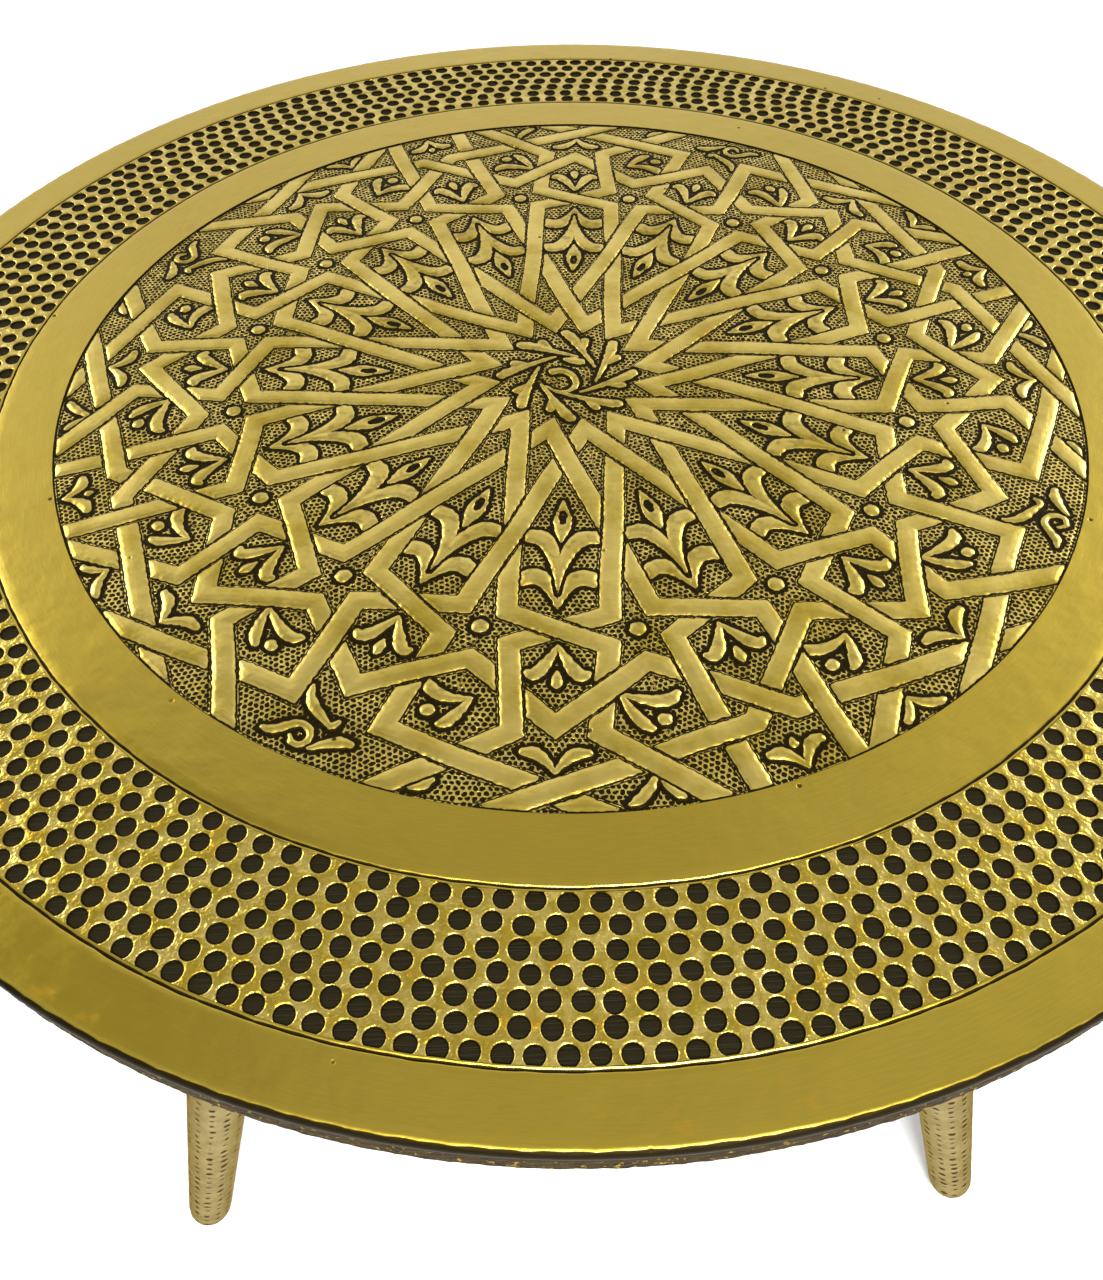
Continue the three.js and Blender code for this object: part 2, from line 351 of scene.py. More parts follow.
def sheet_brass(name, relief=False, punched=False):
    """Polished brass sheet: waxed and brushed, dark in its cuts, and dark brown and dull on the skirt,
    where the shadow under the rolled bead is painted into the colour.
    """
    tones = bpy.context.scene.tray_colours
    make = Finish(name)
    radius, around = make.polar()
    slow = make.noise(make.place, 7.0, 3.0)
    cloud = make.noise(make.place, 38.0, 4.0, 0.6)
    brushed = make.noise(make.joined(radius * 1400.0, around * 26.0, make.z * 300.0), 1.0, 3.0, 0.6)
    tone = make.mix((slow * 0.9 + cloud * 0.5 - 0.25).clamped(), tones.brass[:], tones.deep_brass[:])
    stain = make.noise(make.place, 62.0, 4.0, 0.65).ramp(0.60, 0.74) * slow.ramp(0.40, 0.56)
    if punched:
        warm = make.noise(make.place, 140.0, 3.0, 0.6)
        # Painted sheen: paler brass in patches between the stains of the punched ring.
        tone = make.mix(warm.ramp(0.60, 0.35) * 0.75, tone, tones.pale_sheen_brass[:])
        stain = (stain + warm.ramp(0.60, 0.72)).clamped()
    tone = make.mix(stain * 0.5, tone, tones.stain[:])
    tone = make.mix(brushed.ramp(0.35, 0.7) * 0.30, tone, toned(tones.brass, 0.6))
    if relief:
        # Painted sheen: paler brass in cloudy patches over the chased work.
        tone = make.mix(cloud.ramp(0.70, 0.35) * 0.65, tone, tones.pale_sheen_brass[:])
    pits = make.cells(make.place, 95.0)
    chance = make.split(pits.other("Color"))
    pit = pits.ramp(0.13, 0.06) * chance.ramp(0.93, 0.95)
    depth = TOP - make.z
    if relief:
        shaky = (make.noise(make.place, 420.0, 2.0) - 0.5) * 0.55
        strap = make.attribute("gap") + shaky
        leaf = make.attribute("leaf") + shaky
        nearest = strap.lesser(leaf)
        local = make.node("ShaderNodeUVMap", {"uv_map": "ground"})
        across = make.split(local)
        drift = make.noise(make.place, 150.0, 2.0) * 2.2
        shove = make.noise(make.scaled(make.place, (1.0, 1.0, -1.0)), 330.0, 1.0) * 1.6
        ragged = make.noise(make.place, 340.0, 3.0, 0.65)
        dots = make.staggered(make.joined(across + drift, across.other("Y") + shove, 0.0), 2.5)
        dot = (dots + (ragged - 0.5) * 0.5).ramp(0.43, 0.33) * nearest.ramp(0.5, 0.9)
        line = strap.ramp(-0.18, 0.02) * strap.ramp(0.80, 0.62)
        second = strap.ramp(1.02, 1.18) * strap.ramp(1.85, 1.6) * (ragged.ramp(0.3, 0.45) * 0.95)
        outline = leaf.ramp(-0.12, 0.03) * (leaf - ragged * 3.4).ramp(0.7, 0.1)
        smut = make.noise(make.place, 210.0, 3.0).ramp(0.50, 0.68) * strap.ramp(-1.3, 0.1) * 0.4
        ground = nearest.ramp(-0.15, 0.05)
        cut = line.greater(second).greater(outline).greater(dot)
        dark = (cut * ground + smut).clamped()
        bumps = 0.0 - pit - dot * 1.4
    else:
        dark = depth.ramp(0.00012, 0.00040)
        bumps = 0.0 - pit
    dark = (dark + pit * 0.9).clamped()
    tone = make.mix(dark, tone, tones.patina[:])
    # Painted shadow: below the rolled bead the sheet turns dark brown and dull. This is aged brass with the
    # bead's shadow painted in.
    browned_and_shaded = depth.ramp(0.0040, 0.0052)
    tone = make.mix(browned_and_shaded * 0.92, tone, tones.skirt[:])
    rough = 0.22 + slow * 0.08 + brushed * 0.10 + dark * 0.25 + stain * 0.1
    waves = make.noise(make.place, 20.0, 2.0) * 2.0 + make.noise(make.place, 75.0, 3.0) * 0.9
    height = waves + brushed * 0.10 + bumps * 0.5
    sockets = {"Base Color": tone, "Metallic": 1.0 - browned_and_shaded, "Roughness": rough + browned_and_shaded * 0.1}
    sockets |= {"Coat Weight": (1.0 - dark) * (1.0 - browned_and_shaded) * 0.6, "Coat Roughness": 0.2}
    sockets |= {"Specular IOR Level": 0.12}
    if punched:
        height = height + warm * 2.2
    return make.done(sockets, height, 0.00065 if relief or punched else 0.0004)


def band_brass():
    tones = bpy.context.scene.tray_colours
    make = Finish("hammered_band_brass")
    cloud = make.noise(make.place, 120.0, 4.0, 0.65)
    worn = make.noise(make.place, 420.0, 3.0, 0.6)
    # The band's darker tone borrows the skirt colour, which carries the painted shadow under the bead.
    tone = make.mix(cloud.ramp(0.35, 0.65), tones.skirt[:], tones.band[:])
    tone = make.mix(worn.ramp(0.58, 0.72) * 0.5, tone, tones.brass[:])
    rough = 0.30 + cloud * 0.25
    sockets = {"Base Color": tone, "Metallic": 0.2, "Roughness": rough + 0.1, "Specular IOR Level": 0.04}
    sockets |= {"Specular Tint": tones.band[:]}
    return make.done(sockets, worn + cloud, 0.0006)


def leg_brass():
    tones = bpy.context.scene.tray_colours
    make = Finish("punched_leg_brass")
    mark = make.attribute("mark")
    slow = make.noise(make.place, 11.0, 3.0)
    cloud = make.noise(make.place, 90.0, 4.0, 0.6)
    grain = make.noise(make.scaled(make.place, (1.0, 1.0, 0.3)), 700.0, 2.0)
    tone = make.mix(cloud.ramp(0.35, 0.75) * 0.5, tones.leg[:], toned(tones.leg, 1.5))
    dark = (mark.ramp(0.1, 0.7) * 0.95 + cloud.ramp(0.60, 0.80) * slow.ramp(0.5, 0.65) * 0.4).clamped()
    tone = make.mix(dark, tone, tones.leg_mark[:])
    rough = 0.36 + slow * 0.12 + mark * 0.15
    sockets = {"Base Color": tone, "Metallic": 1.0, "Roughness": rough, "Specular Tint": tones.leg[:]}
    return make.done(sockets, cloud + grain * 0.25, 0.0005)


def board_wood():
    tones = bpy.context.scene.tray_colours
    make = Finish("stained_board")
    grain = make.noise(make.scaled(make.place, (6.0, 90.0, 90.0)), 3.0, 5.0, 0.6, 0.4)
    pores = make.noise(make.scaled(make.place, (40.0, 900.0, 900.0)), 1.0, 2.0)
    tone = make.mix(grain, tones.board[:], toned(tones.board, 0.55))
    tone = make.mix(grain.ramp(0.5, 0.8) * 0.5, tone, toned(tones.board, 1.9))
    height = grain + pores.ramp(0.35, 0.5) * 0.4
    sockets = {"Base Color": tone, "Roughness": 0.5 + grain * 0.2, "Specular IOR Level": 0.08}
    return make.done(sockets, height, 0.0003)


def turned_wood():
    tones = bpy.context.scene.tray_colours
    make = Finish("turned_wood")
    grain = make.noise(make.scaled(make.place, (60.0, 60.0, 5.0)), 3.0, 5.0, 0.6, 0.3)
    tone = make.mix(grain.ramp(0.3, 0.7), tones.wood[:], toned(tones.wood, 0.6))
    return make.done({"Base Color": tone, "Roughness": 0.6 + grain * 0.15}, grain, 0.0003)


def zinc_steel():
    tones = bpy.context.scene.tray_colours
    make = Finish("zinc_steel")
    flakes = make.cells(make.place, 260.0)
    shade = make.split(flakes.other("Color"))
    smear = make.noise(make.place, 45.0, 4.0, 0.6)
    tone = make.mix(shade * 0.35, tones.steel[:], toned(tones.steel, 0.7))
    tone = make.mix(smear.ramp(0.62, 0.78) * 0.4, tone, (0.20, 0.16, 0.12, 1.0))
    rough = 0.32 + smear * 0.25
    return make.done({"Base Color": tone, "Metallic": 1.0, "Roughness": rough}, smear + shade * 0.2, 0.0002)


def pad_rubber():
    tones = bpy.context.scene.tray_colours
    make = Finish("foot_rubber")
    grain = make.noise(make.place, 900.0, 2.0)
    dust = make.noise(make.place, 120.0, 4.0, 0.65)
    tone = make.mix(dust.ramp(0.5, 0.8) * 0.5, tones.rubber[:], (0.10, 0.095, 0.085, 1.0))
    return make.done({"Base Color": tone, "Roughness": 0.72 + dust * 0.15}, grain, 0.0002)


# ---- meshes ----
def mesh_of(points, faces, name):
    mesh = bpy.data.meshes.new(name)
    mesh.from_pydata(points.tolist() if isinstance(points, np.ndarray) else points, [], faces)
    mesh.validate()
    return mesh


def triangle_mesh(name, points, triangles):
    """A mesh straight from arrays, for the pieces with very many faces."""
    mesh = bpy.data.meshes.new(name)
    mesh.vertices.add(len(points))
    mesh.vertices.foreach_set("co", np.ascontiguousarray(points, np.float32).ravel())
    mesh.loops.add(triangles.size)
    mesh.loops.foreach_set("vertex_index", triangles.ravel().astype(np.int32))
    mesh.polygons.add(len(triangles))
    mesh.polygons.foreach_set("loop_start", np.arange(0, triangles.size, 3, dtype=np.int32))
    mesh.update(calc_edges=True)
    return mesh


def piece(name, mesh, material, slot, *nodes):
    """Puts a finished mesh in the scene as a piece that stands for those CAD nodes."""
    made = bpy.data.objects.new(name, mesh)
    bpy.context.scene.collection.objects.link(made)
    if material is not None:
        mesh.materials.clear()
        mesh.materials.append(material)
    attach(made, BODY)
    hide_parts(*nodes)
    return made


def smooth_by_angle(mesh, degrees):
    mesh.shade_smooth()
    mesh.set_sharp_from_angle(angle=math.radians(degrees))


def turned(profile, segments, wobble=None):
    """A closed profile of (radius, height) turned about Z. wobble moves the points at one angle."""
    rim = np.array(profile, float)
    around = np.arange(segments) / segments * TURN
    radius = np.repeat(rim[None, :, 0], segments, 0)
    height = np.repeat(rim[None, :, 1], segments, 0)
    if wobble is not None:
        radius, height = wobble(around[:, None], radius, height)
    a = around[:, None]
    points = np.stack([radius * np.cos(a), radius * np.sin(a), height], 2).reshape(-1, 3)
    n = len(rim)
    faces = []
    for i in range(segments):
        here, there = i * n, (i + 1) % segments * n
        for k in range(n):
            m = (k + 1) % n
            faces.append((here + k, here + m, there + m, there + k))
    return points, faces


def waver(values, *waves):
    """A slow irregular swing made of a few sines, each (amount, cycles, phase)."""
    return sum(amount * np.sin(cycles * values + phase) for amount, cycles, phase in waves)


# ---- the star pattern, in shares of the medallion's radius ----
AXES = 16
STEP = TURN / AXES
FAR = 0.2
BOSS_CIRCLE = 0.663
BOSS_RADIUS = 0.0140
LEAF_PARTING = 0.0065


def spot(radius, degrees):
    """A point at a clockwise angle from an axis, as (right, outward)."""
    a = math.radians(degrees)
    return radius * math.sin(a), radius * math.cos(a)


def placed(points, axis):
    """Points of an axis's own frame, carried to the axis of that number."""
    a = axis * STEP
    right, out = np.array(points, float).T
    return np.stack([out * math.cos(a) + right * math.sin(a), out * math.sin(a) - right * math.cos(a)], 1)


def strap_end(axis, side):
    """Where a petal's strap goes once it has crossed the axis: main, corner and other axes differ."""
    kind = axis % 4
    if kind == 0:
        return [(0.083 * side, 1.04)]
    if kind == 2:
        return [(0.081 * side, 0.893), (0.52 * side, 0.893)]
    return [(0.068 * side, 0.855), spot(1.03, (17.2 if side > 0 else 15.7) * side)]


def petal_side(axis, side):
    """One long side of a petal, outwards from its inner corner, over its axis and to the edge."""
    way = [spot(0.166, 33.75 * side), spot(0.625, 7.9 * side), spot(0.6925, -6.8 * side)]
    return placed(way + strap_end(axis, -side), axis)


def zigzag(axis):
    """The strap that runs clockwise round a quarter, from one main axis to the next."""
    teeth = [spot(0.845 if k % 2 else 0.732, 11.25 * (k + 1)) for k in range(7)]
    start = placed([(-0.56, 0.885), (-0.036, 0.885)] + teeth, axis)
    return np.concatenate([start, placed([(0.036, 0.885), (0.56, 0.885)], axis - 4)])


def strands():
    lines = [np.concatenate([petal_side(k, 1)[::-1], petal_side(k - 3, -1)[1:]]) for k in range(AXES)]
    return lines + [zigzag(k) for k in range(0, AXES, 4)]


def unit(v):
    return v / np.hypot(*v)


def meeting(a, b, c, d):
    """Where segments ab and cd cross, as shares along each, or None."""
    u, v, w = b - a, d - c, c - a
    det = u[0] * v[1] - u[1] * v[0]
    if abs(det) < 1e-9:
        return None
    s = (w[0] * v[1] - w[1] * v[0]) / det
    t = (w[0] * u[1] - w[1] * u[0]) / det
    return (s, t) if 0 <= s <= 1 and 0 <= t <= 1 else None


def crossings(lines):
    """Every crossing of two straps inside the edge, with half of the angle between them."""
    found = []
    for i, one in enumerate(lines):
        for j in range(i + 1, len(lines)):
            two = lines[j]
            for m in range(len(one) - 1):
                for n in range(len(two) - 1):
                    met = meeting(one[m], one[m + 1], two[n], two[n + 1])
                    if met is None:
                        continue
                    at = one[m] + met[0] * (one[m + 1] - one[m])
                    if np.hypot(*at) > 1.0:
                        continue
                    u, v = unit(one[m + 1] - one[m]), unit(two[n + 1] - two[n])
                    half = math.acos(min(1.0, abs(float(u @ v)))) / 2
                    along = (m + met[0], n + met[1])
                    found.append({"pair": (i, j), "along": along, "at": at, "half": half})
    return found


def weave(lines):
    """Sets which strap lies over at each crossing, so that each goes over and under in turn."""
    met = crossings(lines)
    order = []
    for k in range(len(lines)):
        along = sorted((c["along"][c["pair"].index(k)], n) for n, c in enumerate(met) if k in c["pair"])
        order.append({n: place for place, (_, n) in enumerate(along)})
    tip = placed([(0, 0.656)], 0)[0]
    first = min(order[0], key=lambda n: np.hypot(*(met[n]["at"] - tip)))
    start = {0: order[0][first] % 2}
    queue = [0]
    while queue:
        k = queue.pop()
        for n, place in order[k].items():
            other = sum(met[n]["pair"]) - k
            if other not in start:
                start[other] = (order[other][n] + (place - start[k] + 1)) % 2
                queue.append(other)
    for n, c in enumerate(met):
        i, j = c["pair"]
        c["over"], c["under"] = (i, j) if (order[i][n] - start[i]) % 2 == 0 else (j, i)
    return met


def strap_gap(line, half, points, out):
    """Distance outside a mitred strap, below 0 inside it, written into out where it is less."""
    reach = 3 * half
    way = [unit(b - a) for a, b in zip(line, line[1:])]
    for k, (a, b) in enumerate(zip(line, line[1:])):
        start = unit(way[k - 1] + way[k]) if k else way[k]
        end = unit(way[k] + way[k + 1]) if k + 1 < len(way) else way[k]
        low, high = np.minimum(a, b) - reach, np.maximum(a, b) + reach
        near = np.nonzero(((points > low) & (points < high)).all(1))[0]
        p = points[near]
        keep = ((p - a) @ start >= 0) & ((p - b) @ end <= 0)
        near, p = near[keep], p[keep]
        gap = np.abs((p[:, 0] - a[0]) * way[k][1] - (p[:, 1] - a[1]) * way[k][0]) - half
        out[near] = np.minimum(out[near], gap)


def straps_field(points, lines, met, half, parting):
    """Distance outside the woven straps, and how near a strap is to going under another."""
    gaps = np.full((len(lines), len(points)), FAR)
    for line, out in zip(lines, gaps):
        strap_gap(line, half, points, out)
    cut = gaps.copy()
    dip = np.zeros(len(points))
    for c in met:
        reach = half / math.sin(c["half"]) + 0.03
        near = np.nonzero(((points - c["at"]) ** 2).sum(1) < reach**2)[0]
        over, under = gaps[c["over"]][near], gaps[c["under"]][near]
        cut[c["under"]][near] = np.maximum(cut[c["under"]][near], parting - over)
        sunk = np.where((under < 0) & (over > 0), np.clip(1 - over / 0.024, 0, 1), 0)
        dip[near] = np.maximum(dip[near], sunk)
    return cut.min(0), dip


def mirrored(strokes):
    return strokes + [[(-x, y, w) for x, y, w in s] for s in strokes]


# Leaves and buds are strokes. Each runs through points (right of its axis, outward, half width).
OUTER_PAIR = mirrored([
    [(0, 0.612, 0.001), (-0.0095, 0.579, 0.0080), (-0.025, 0.551, 0.0150), (-0.043, 0.542, 0.0170),
     (-0.062, 0.548, 0.0155)],
])
INNER_PAIR = mirrored([
    [(0, 0.580, 0.0008), (-0.0035, 0.532, 0.0065), (-0.0145, 0.484, 0.0130), (-0.034, 0.452, 0.0170),
     (-0.060, 0.447, 0.0150)],
])
SEED = [[(0, 0.460, 0.002), (0, 0.438, 0.0105), (0, 0.412, 0.0165), (0, 0.385, 0.0105), (0, 0.360, 0.002)]]
SEED_EYE = [[(0, 0.411, 0.004), (0, 0.400, 0.0065), (0, 0.390, 0.005)]]
HEXAGON = mirrored([
    [(0, 0.690, 0.003), (-0.011, 0.712, 0.007), (-0.025, 0.737, 0.0115), (-0.039, 0.750, 0.011),
     (-0.049, 0.745, 0.006)],
]) + [
    [(0, 0.744, 0.003), (0, 0.762, 0.0095), (0, 0.772, 0.005)],
]
TILTED = [
    [(-0.181, 0.787, 0.003), (-0.176, 0.812, 0.0075), (-0.168, 0.838, 0.0105), (-0.158, 0.850, 0.006)],
    [(-0.179, 0.787, 0.003), (-0.156, 0.798, 0.0075), (-0.131, 0.801, 0.011), (-0.110, 0.795, 0.011),
     (-0.100, 0.784, 0.006)],
    [(-0.131, 0.834, 0.0105), (-0.128, 0.836, 0.010)],
    [(0.207, 0.763, 0.003), (0.205, 0.790, 0.0075), (0.198, 0.820, 0.0105), (0.188, 0.838, 0.006)],
    [(0.205, 0.763, 0.003), (0.183, 0.780, 0.0075), (0.157, 0.796, 0.011), (0.136, 0.800, 0.011),
     (0.124, 0.793, 0.006)],
    [(0.163, 0.829, 0.0105), (0.160, 0.831, 0.010)],
]
CHEVRON = mirrored([
    [(0, 0.930, 0.003), (-0.013, 0.911, 0.0075), (-0.031, 0.895, 0.011), (-0.050, 0.892, 0.007)],
])
MAIN_TOP = mirrored([
    [(0, 0.986, 0.003), (-0.011, 0.966, 0.007), (-0.026, 0.950, 0.0115), (-0.043, 0.947, 0.008)],
]) + [
    [(0, 0.941, 0.0075), (0, 0.933, 0.004)],
]
MAIN_SIDES = [
    [(-0.208, 0.928, 0.003), (-0.228, 0.944, 0.008), (-0.250, 0.951, 0.008), (-0.262, 0.950, 0.004)],
    [(-0.207, 0.928, 0.003), (-0.199, 0.948, 0.007), (-0.188, 0.963, 0.007), (-0.180, 0.966, 0.004)],
    [(0.215, 0.912, 0.003), (0.209, 0.936, 0.007), (0.200, 0.956, 0.008), (0.194, 0.966, 0.004)],
    [(0.216, 0.912, 0.003), (0.235, 0.932, 0.008), (0.258, 0.944, 0.009), (0.272, 0.946, 0.004)],
]
CORNER_TOP = [
    [(0.002, 0.972, 0.003), (-0.014, 0.957, 0.007), (-0.034, 0.944, 0.010), (-0.052, 0.941, 0.006)],
    [(0.040, 0.962, 0.003), (0.031, 0.973, 0.005), (0.016, 0.970, 0.005), (0.010, 0.956, 0.005),
     (0.018, 0.941, 0.0055), (0.036, 0.937, 0.006), (0.052, 0.948, 0.007), (0.070, 0.965, 0.008),
     (0.088, 0.969, 0.004)],
    [(-0.008, 0.925, 0.004), (0.012, 0.914, 0.007), (0.034, 0.902, 0.009), (0.050, 0.886, 0.007),
     (0.056, 0.868, 0.003)],
    [(-0.012, 0.920, 0.007), (-0.016, 0.912, 0.004)],
]
CORNER_SIDES = [
    [(-0.150, 0.935, 0.003), (-0.176, 0.934, 0.007), (-0.190, 0.946, 0.008), (-0.182, 0.962, 0.008),
     (-0.158, 0.972, 0.005)],
]

# strokes, axes between their copies, first axis, inner and outer radius, half spread in steps
MOTIFS = (
    (OUTER_PAIR, 1, 0, 0.50, 0.64, 0.5),
    (INNER_PAIR, 1, 0, 0.40, 0.60, 0.5),
    (SEED, 1, 0, 0.33, 0.49, 0.5),
    (HEXAGON, 1, 0, 0.66, 0.80, 0.5),
    (TILTED, 4, 0, 0.74, 0.92, 1.0),
    (TILTED, 4, 2, 0.74, 0.92, 1.0),
    (CHEVRON, 2, 1, 0.85, 0.96, 0.5),
    (MAIN_TOP, 4, 0, 0.90, 1.0, 0.5),
    (MAIN_SIDES, 4, 0, 0.90, 1.0, 1.0),
    (CORNER_TOP, 4, 2, 0.84, 1.0, 0.5),
    (CORNER_SIDES, 4, 2, 0.90, 1.0, 1.0),
)
ROSETTE_LEAVES = 8
ROSETTE_START = 1.8


def rosette():
    """The whorl of leaves in the middle, with a curl inside its ring."""
    strokes = []
    for k in range(ROSETTE_LEAVES):
        start = ROSETTE_START + 360 / ROSETTE_LEAVES * k
        leaf = [(0, 0.060, 0.0025), (18, 0.063, 0.004), (36, 0.072, 0.0055), (52, 0.092, 0.008)]
        leaf += [(63, 0.119, 0.0115), (68, 0.133, 0.0105)]
        strokes.append([(*spot(radius, -(start + sweep)), half) for sweep, radius, half in leaf])
        bud = [(44, 0.090, 0.002), (47, 0.104, 0.0065), (49, 0.114, 0.0085)]
        strokes.append([(*spot(radius, -(start + sweep)), half) for sweep, radius, half in bud])
    strokes.append(
        [(-0.052, -0.020, 0.002), (-0.040, -0.042, 0.004), (-0.018, -0.050, 0.005), (0.004, -0.036, 0.006),
         (0.009, -0.008, 0.007), (-0.004, 0.014, 0.0085), (-0.022, 0.018, 0.0095)]
    )
    strokes.append([(0.014, 0.046, 0.005), (0.028, 0.036, 0.010), (0.040, 0.028, 0.009)])
    return strokes


def smooth_path(stroke, parts=3):
    """A stroke with points added on a curve through its own."""
    p = np.array(stroke, float)
    q = np.concatenate([[2 * p[0] - p[1]], p, [2 * p[-1] - p[-2]]])
    made = []
    for k in range(1, len(q) - 2):
        a, b, c, d = q[k - 1 : k + 3]
        for i in range(parts):
            t = i / parts
            square, cube = 2 * a - 5 * b + 4 * c - d, 3 * b - a - 3 * c + d
            made.append(0.5 * (2 * b + (c - a) * t + square * t**2 + cube * t**3))
    return made + [q[-2]]


def stroke_gap(stroke, x, y, out):
    """Distance outside a leaf, below 0 inside it, written into out where it is less."""
    path = smooth_path(stroke)
    for (ax, ay, aw), (bx, by, bw) in zip(path, path[1:]):
        ux, uy = bx - ax, by - ay
        t = np.clip(((x - ax) * ux + (y - ay) * uy) / (ux * ux + uy * uy), 0, 1)
        np.minimum(out, np.hypot(x - ax - t * ux, y - ay - t * uy) - (aw + (bw - aw) * t), out=out)


def stamp(strokes, radius, around, every, first, inner, outer, spread):
    """Draws strokes at every such axis, and gives the points near them and their gaps."""
    pitch = STEP * every
    turn = around - first * STEP
    local = turn - np.round(turn / pitch) * pitch
    near = np.nonzero((radius > inner) & (radius < outer) & (np.abs(local) < spread * STEP))[0]
    x, y = -radius[near] * np.sin(local[near]), radius[near] * np.cos(local[near])
    gap = np.full(len(near), FAR)
    for stroke in strokes:
        stroke_gap(stroke, x, y, gap)
    return near, gap


def motifs_field(points):
    """Distance outside the nearest leaf, bud or boss."""
    x, y = points.T
    radius, around = np.hypot(x, y), np.arctan2(y, x)
    out = np.full(len(points), FAR)
    for strokes, *where in MOTIFS:
        near, gap = stamp(strokes, radius, around, *where)
        out[near] = np.minimum(np.maximum(out[near], LEAF_PARTING - gap), gap)
    near, eye = stamp(SEED_EYE, radius, around, 1, 0, 0.33, 0.46, 0.5)
    out[near] = np.maximum(out[near], 0.0018 - eye)
    local = (around / STEP - np.floor(around / STEP) - 0.5) * STEP
    boss = np.hypot(radius * np.cos(local) - BOSS_CIRCLE, radius * np.sin(local)) - BOSS_RADIUS
    out = np.minimum(out, boss)
    middle = np.nonzero(radius < 0.17)[0]
    gap = np.full(len(middle), FAR)
    for stroke in rosette():
        stroke_gap(stroke, x[middle], y[middle], gap)
    out[middle] = np.minimum(out[middle], gap)
    return out


# ---- the relief ----
def disc_rings(rings):
    """Triangles of a disc whose ring k has 6k points, ring by ring, and each ring's first point."""
    first = [0] + [1 + 3 * k * (k - 1) for k in range(1, rings + 1)]
    blocks = []
    for k in range(1, rings + 1):
        side, step = np.divmod(np.arange(6 * k), k)
        here = first[k] + np.arange(6 * k)
        ahead = first[k] + (np.arange(6 * k) + 1) % (6 * k)
        inside = max(6 * (k - 1), 1)
        inner = first[k - 1] + (side * (k - 1) + step) % inside
        outward = np.stack([here, ahead, inner], 1)
        back = first[k - 1] + (side * (k - 1) + step - 1) % inside
        inward = np.stack([back, here, inner], 1)[step > 0]
        blocks.append(np.concatenate([outward, inward]))
    return blocks, first


def disc_points(rings, radius):
    points = [np.zeros((1, 2))]
    for k in range(1, rings + 1):
        a = np.arange(6 * k) / (6 * k) * TURN
        points.append(radius * k / rings * np.stack([np.cos(a), np.sin(a)], 1))
    return np.concatenate(points)


def pattern_place(points, sizes):
    """Points of the sheet in the pattern's own frame, strayed a little as handwork does."""
    x, y = (points / sizes.radius).T
    x = x + waver(y, (0.0022, 9.0, 0.4), (0.0012, 23.0, 1.9)) + waver(x, (0.0010, 31.0, 2.7))
    y = y + waver(x, (0.0020, 8.0, 2.2), (0.0011, 27.0, 0.3)) + waver(y, (0.0010, 29.0, 1.1))
    swell = waver(y - 0.6 * x, (1.0, 71.0, 1.2), (0.7, 133.0, 0.1))
    x = x + waver(x + 1.7 * y, (0.0007, 190.0, 0.3)) * swell
    swell = waver(x + 0.5 * y, (1.0, 83.0, 0.4), (0.7, 149.0, 2.2))
    y = y + waver(y - 1.4 * x, (0.0007, 210.0, 2.1)) * swell
    c, s = math.cos(sizes.turn), math.sin(sizes.turn)
    return np.stack([x * c + y * s, y * c - x * s], 1)


def relief_fields(points, sizes, lines, met):
    """Distances in metres outside the straps, the leaves and the rim, and the straps' dip."""
    place = pattern_place(points, sizes)
    half, parting = sizes.strap / 2 / sizes.radius, sizes.parting / sizes.radius
    straps, dip = straps_field(place, lines, met, half, parting)
    leaves = motifs_field(place)
    rim = 1 - np.hypot(*(points.T / sizes.radius))
    straps = np.maximum(straps, parting * 0.8 - rim)
    leaves = np.maximum(leaves, parting * 0.5 - rim)
    leaves = np.maximum(leaves, parting * 0.7 - straps)
    return straps * sizes.radius, leaves * sizes.radius, rim * sizes.radius, dip


def nearest_gap(points, sizes, lines, met):
    straps, leaves, rim, _ = relief_fields(points, sizes, lines, met)
    return np.minimum(np.minimum(straps, leaves), rim)


WALL = 0.75 * MM
STRAP_ROUND, STRAP_FALL = 1.7 * MM, 0.36 * MM
LEAF_ROUND, LEAF_FALL = 2.2 * MM, 0.60 * MM
STRAP_DIP = 0.28 * MM
STRAP_SLOPE, STRAP_MIDDLE = 0.06, 4.3 * MM
GROUND_RISE, GROUND_RUN = 0.28 * MM, 1.6 * MM
# Points near an outline are pulled onto it: the step that finds its slope, the least squared slope
# that is trusted, and the furthest pull in shares of the points' distance.
NUDGE = 0.12 * MM
LEAST_SLOPE = 0.3
SNAP = 0.44
# How uneven the beaten sheet is left.
UNEVEN = 0.03 * MM


def relief_height(straps, leaves, rim, dip, depth):
    """Height over the top face: straps nearly flat, leaves domed, the ground cut deepest at edges."""
    strap_fall = STRAP_FALL * (1 - np.clip(-straps / STRAP_ROUND, 0, 1)) ** 2 + STRAP_DIP * dip
    strap_fall = strap_fall + STRAP_SLOPE * (STRAP_MIDDLE + straps)
    leaf_fall = LEAF_FALL * (1 - np.clip(-leaves / LEAF_ROUND, 0, 1)) ** 2
    gap = np.minimum(np.minimum(straps, leaves), rim)
    edge = np.where(straps <= np.minimum(leaves, rim), strap_fall, np.where(leaves < rim, leaf_fall, 0.0))
    t = np.clip(gap / WALL, 0, 1)
    t = t * t * (3 - 2 * t)
    rise = GROUND_RISE * np.clip((gap - WALL) / GROUND_RUN, 0, 1)
    return -(edge + (depth - edge) * t) + rise


def zipped(inner, outer):
    """Triangles between two rings of points that face down, each ring given as its point numbers."""
    if len(inner) == 1:
        return [(inner[0], outer[(k + 1) % len(outer)], outer[k]) for k in range(len(outer))]
    made = []
    i = o = 0
    while i < len(inner) or o < len(outer):
        if o * len(inner) <= i * len(outer):
            made.append((inner[i % len(inner)], outer[(o + 1) % len(outer)], outer[o % len(outer)]))
            o += 1
        else:
            made.append((inner[i % len(inner)], inner[(i + 1) % len(inner)], outer[o % len(outer)]))
            i += 1
    return made


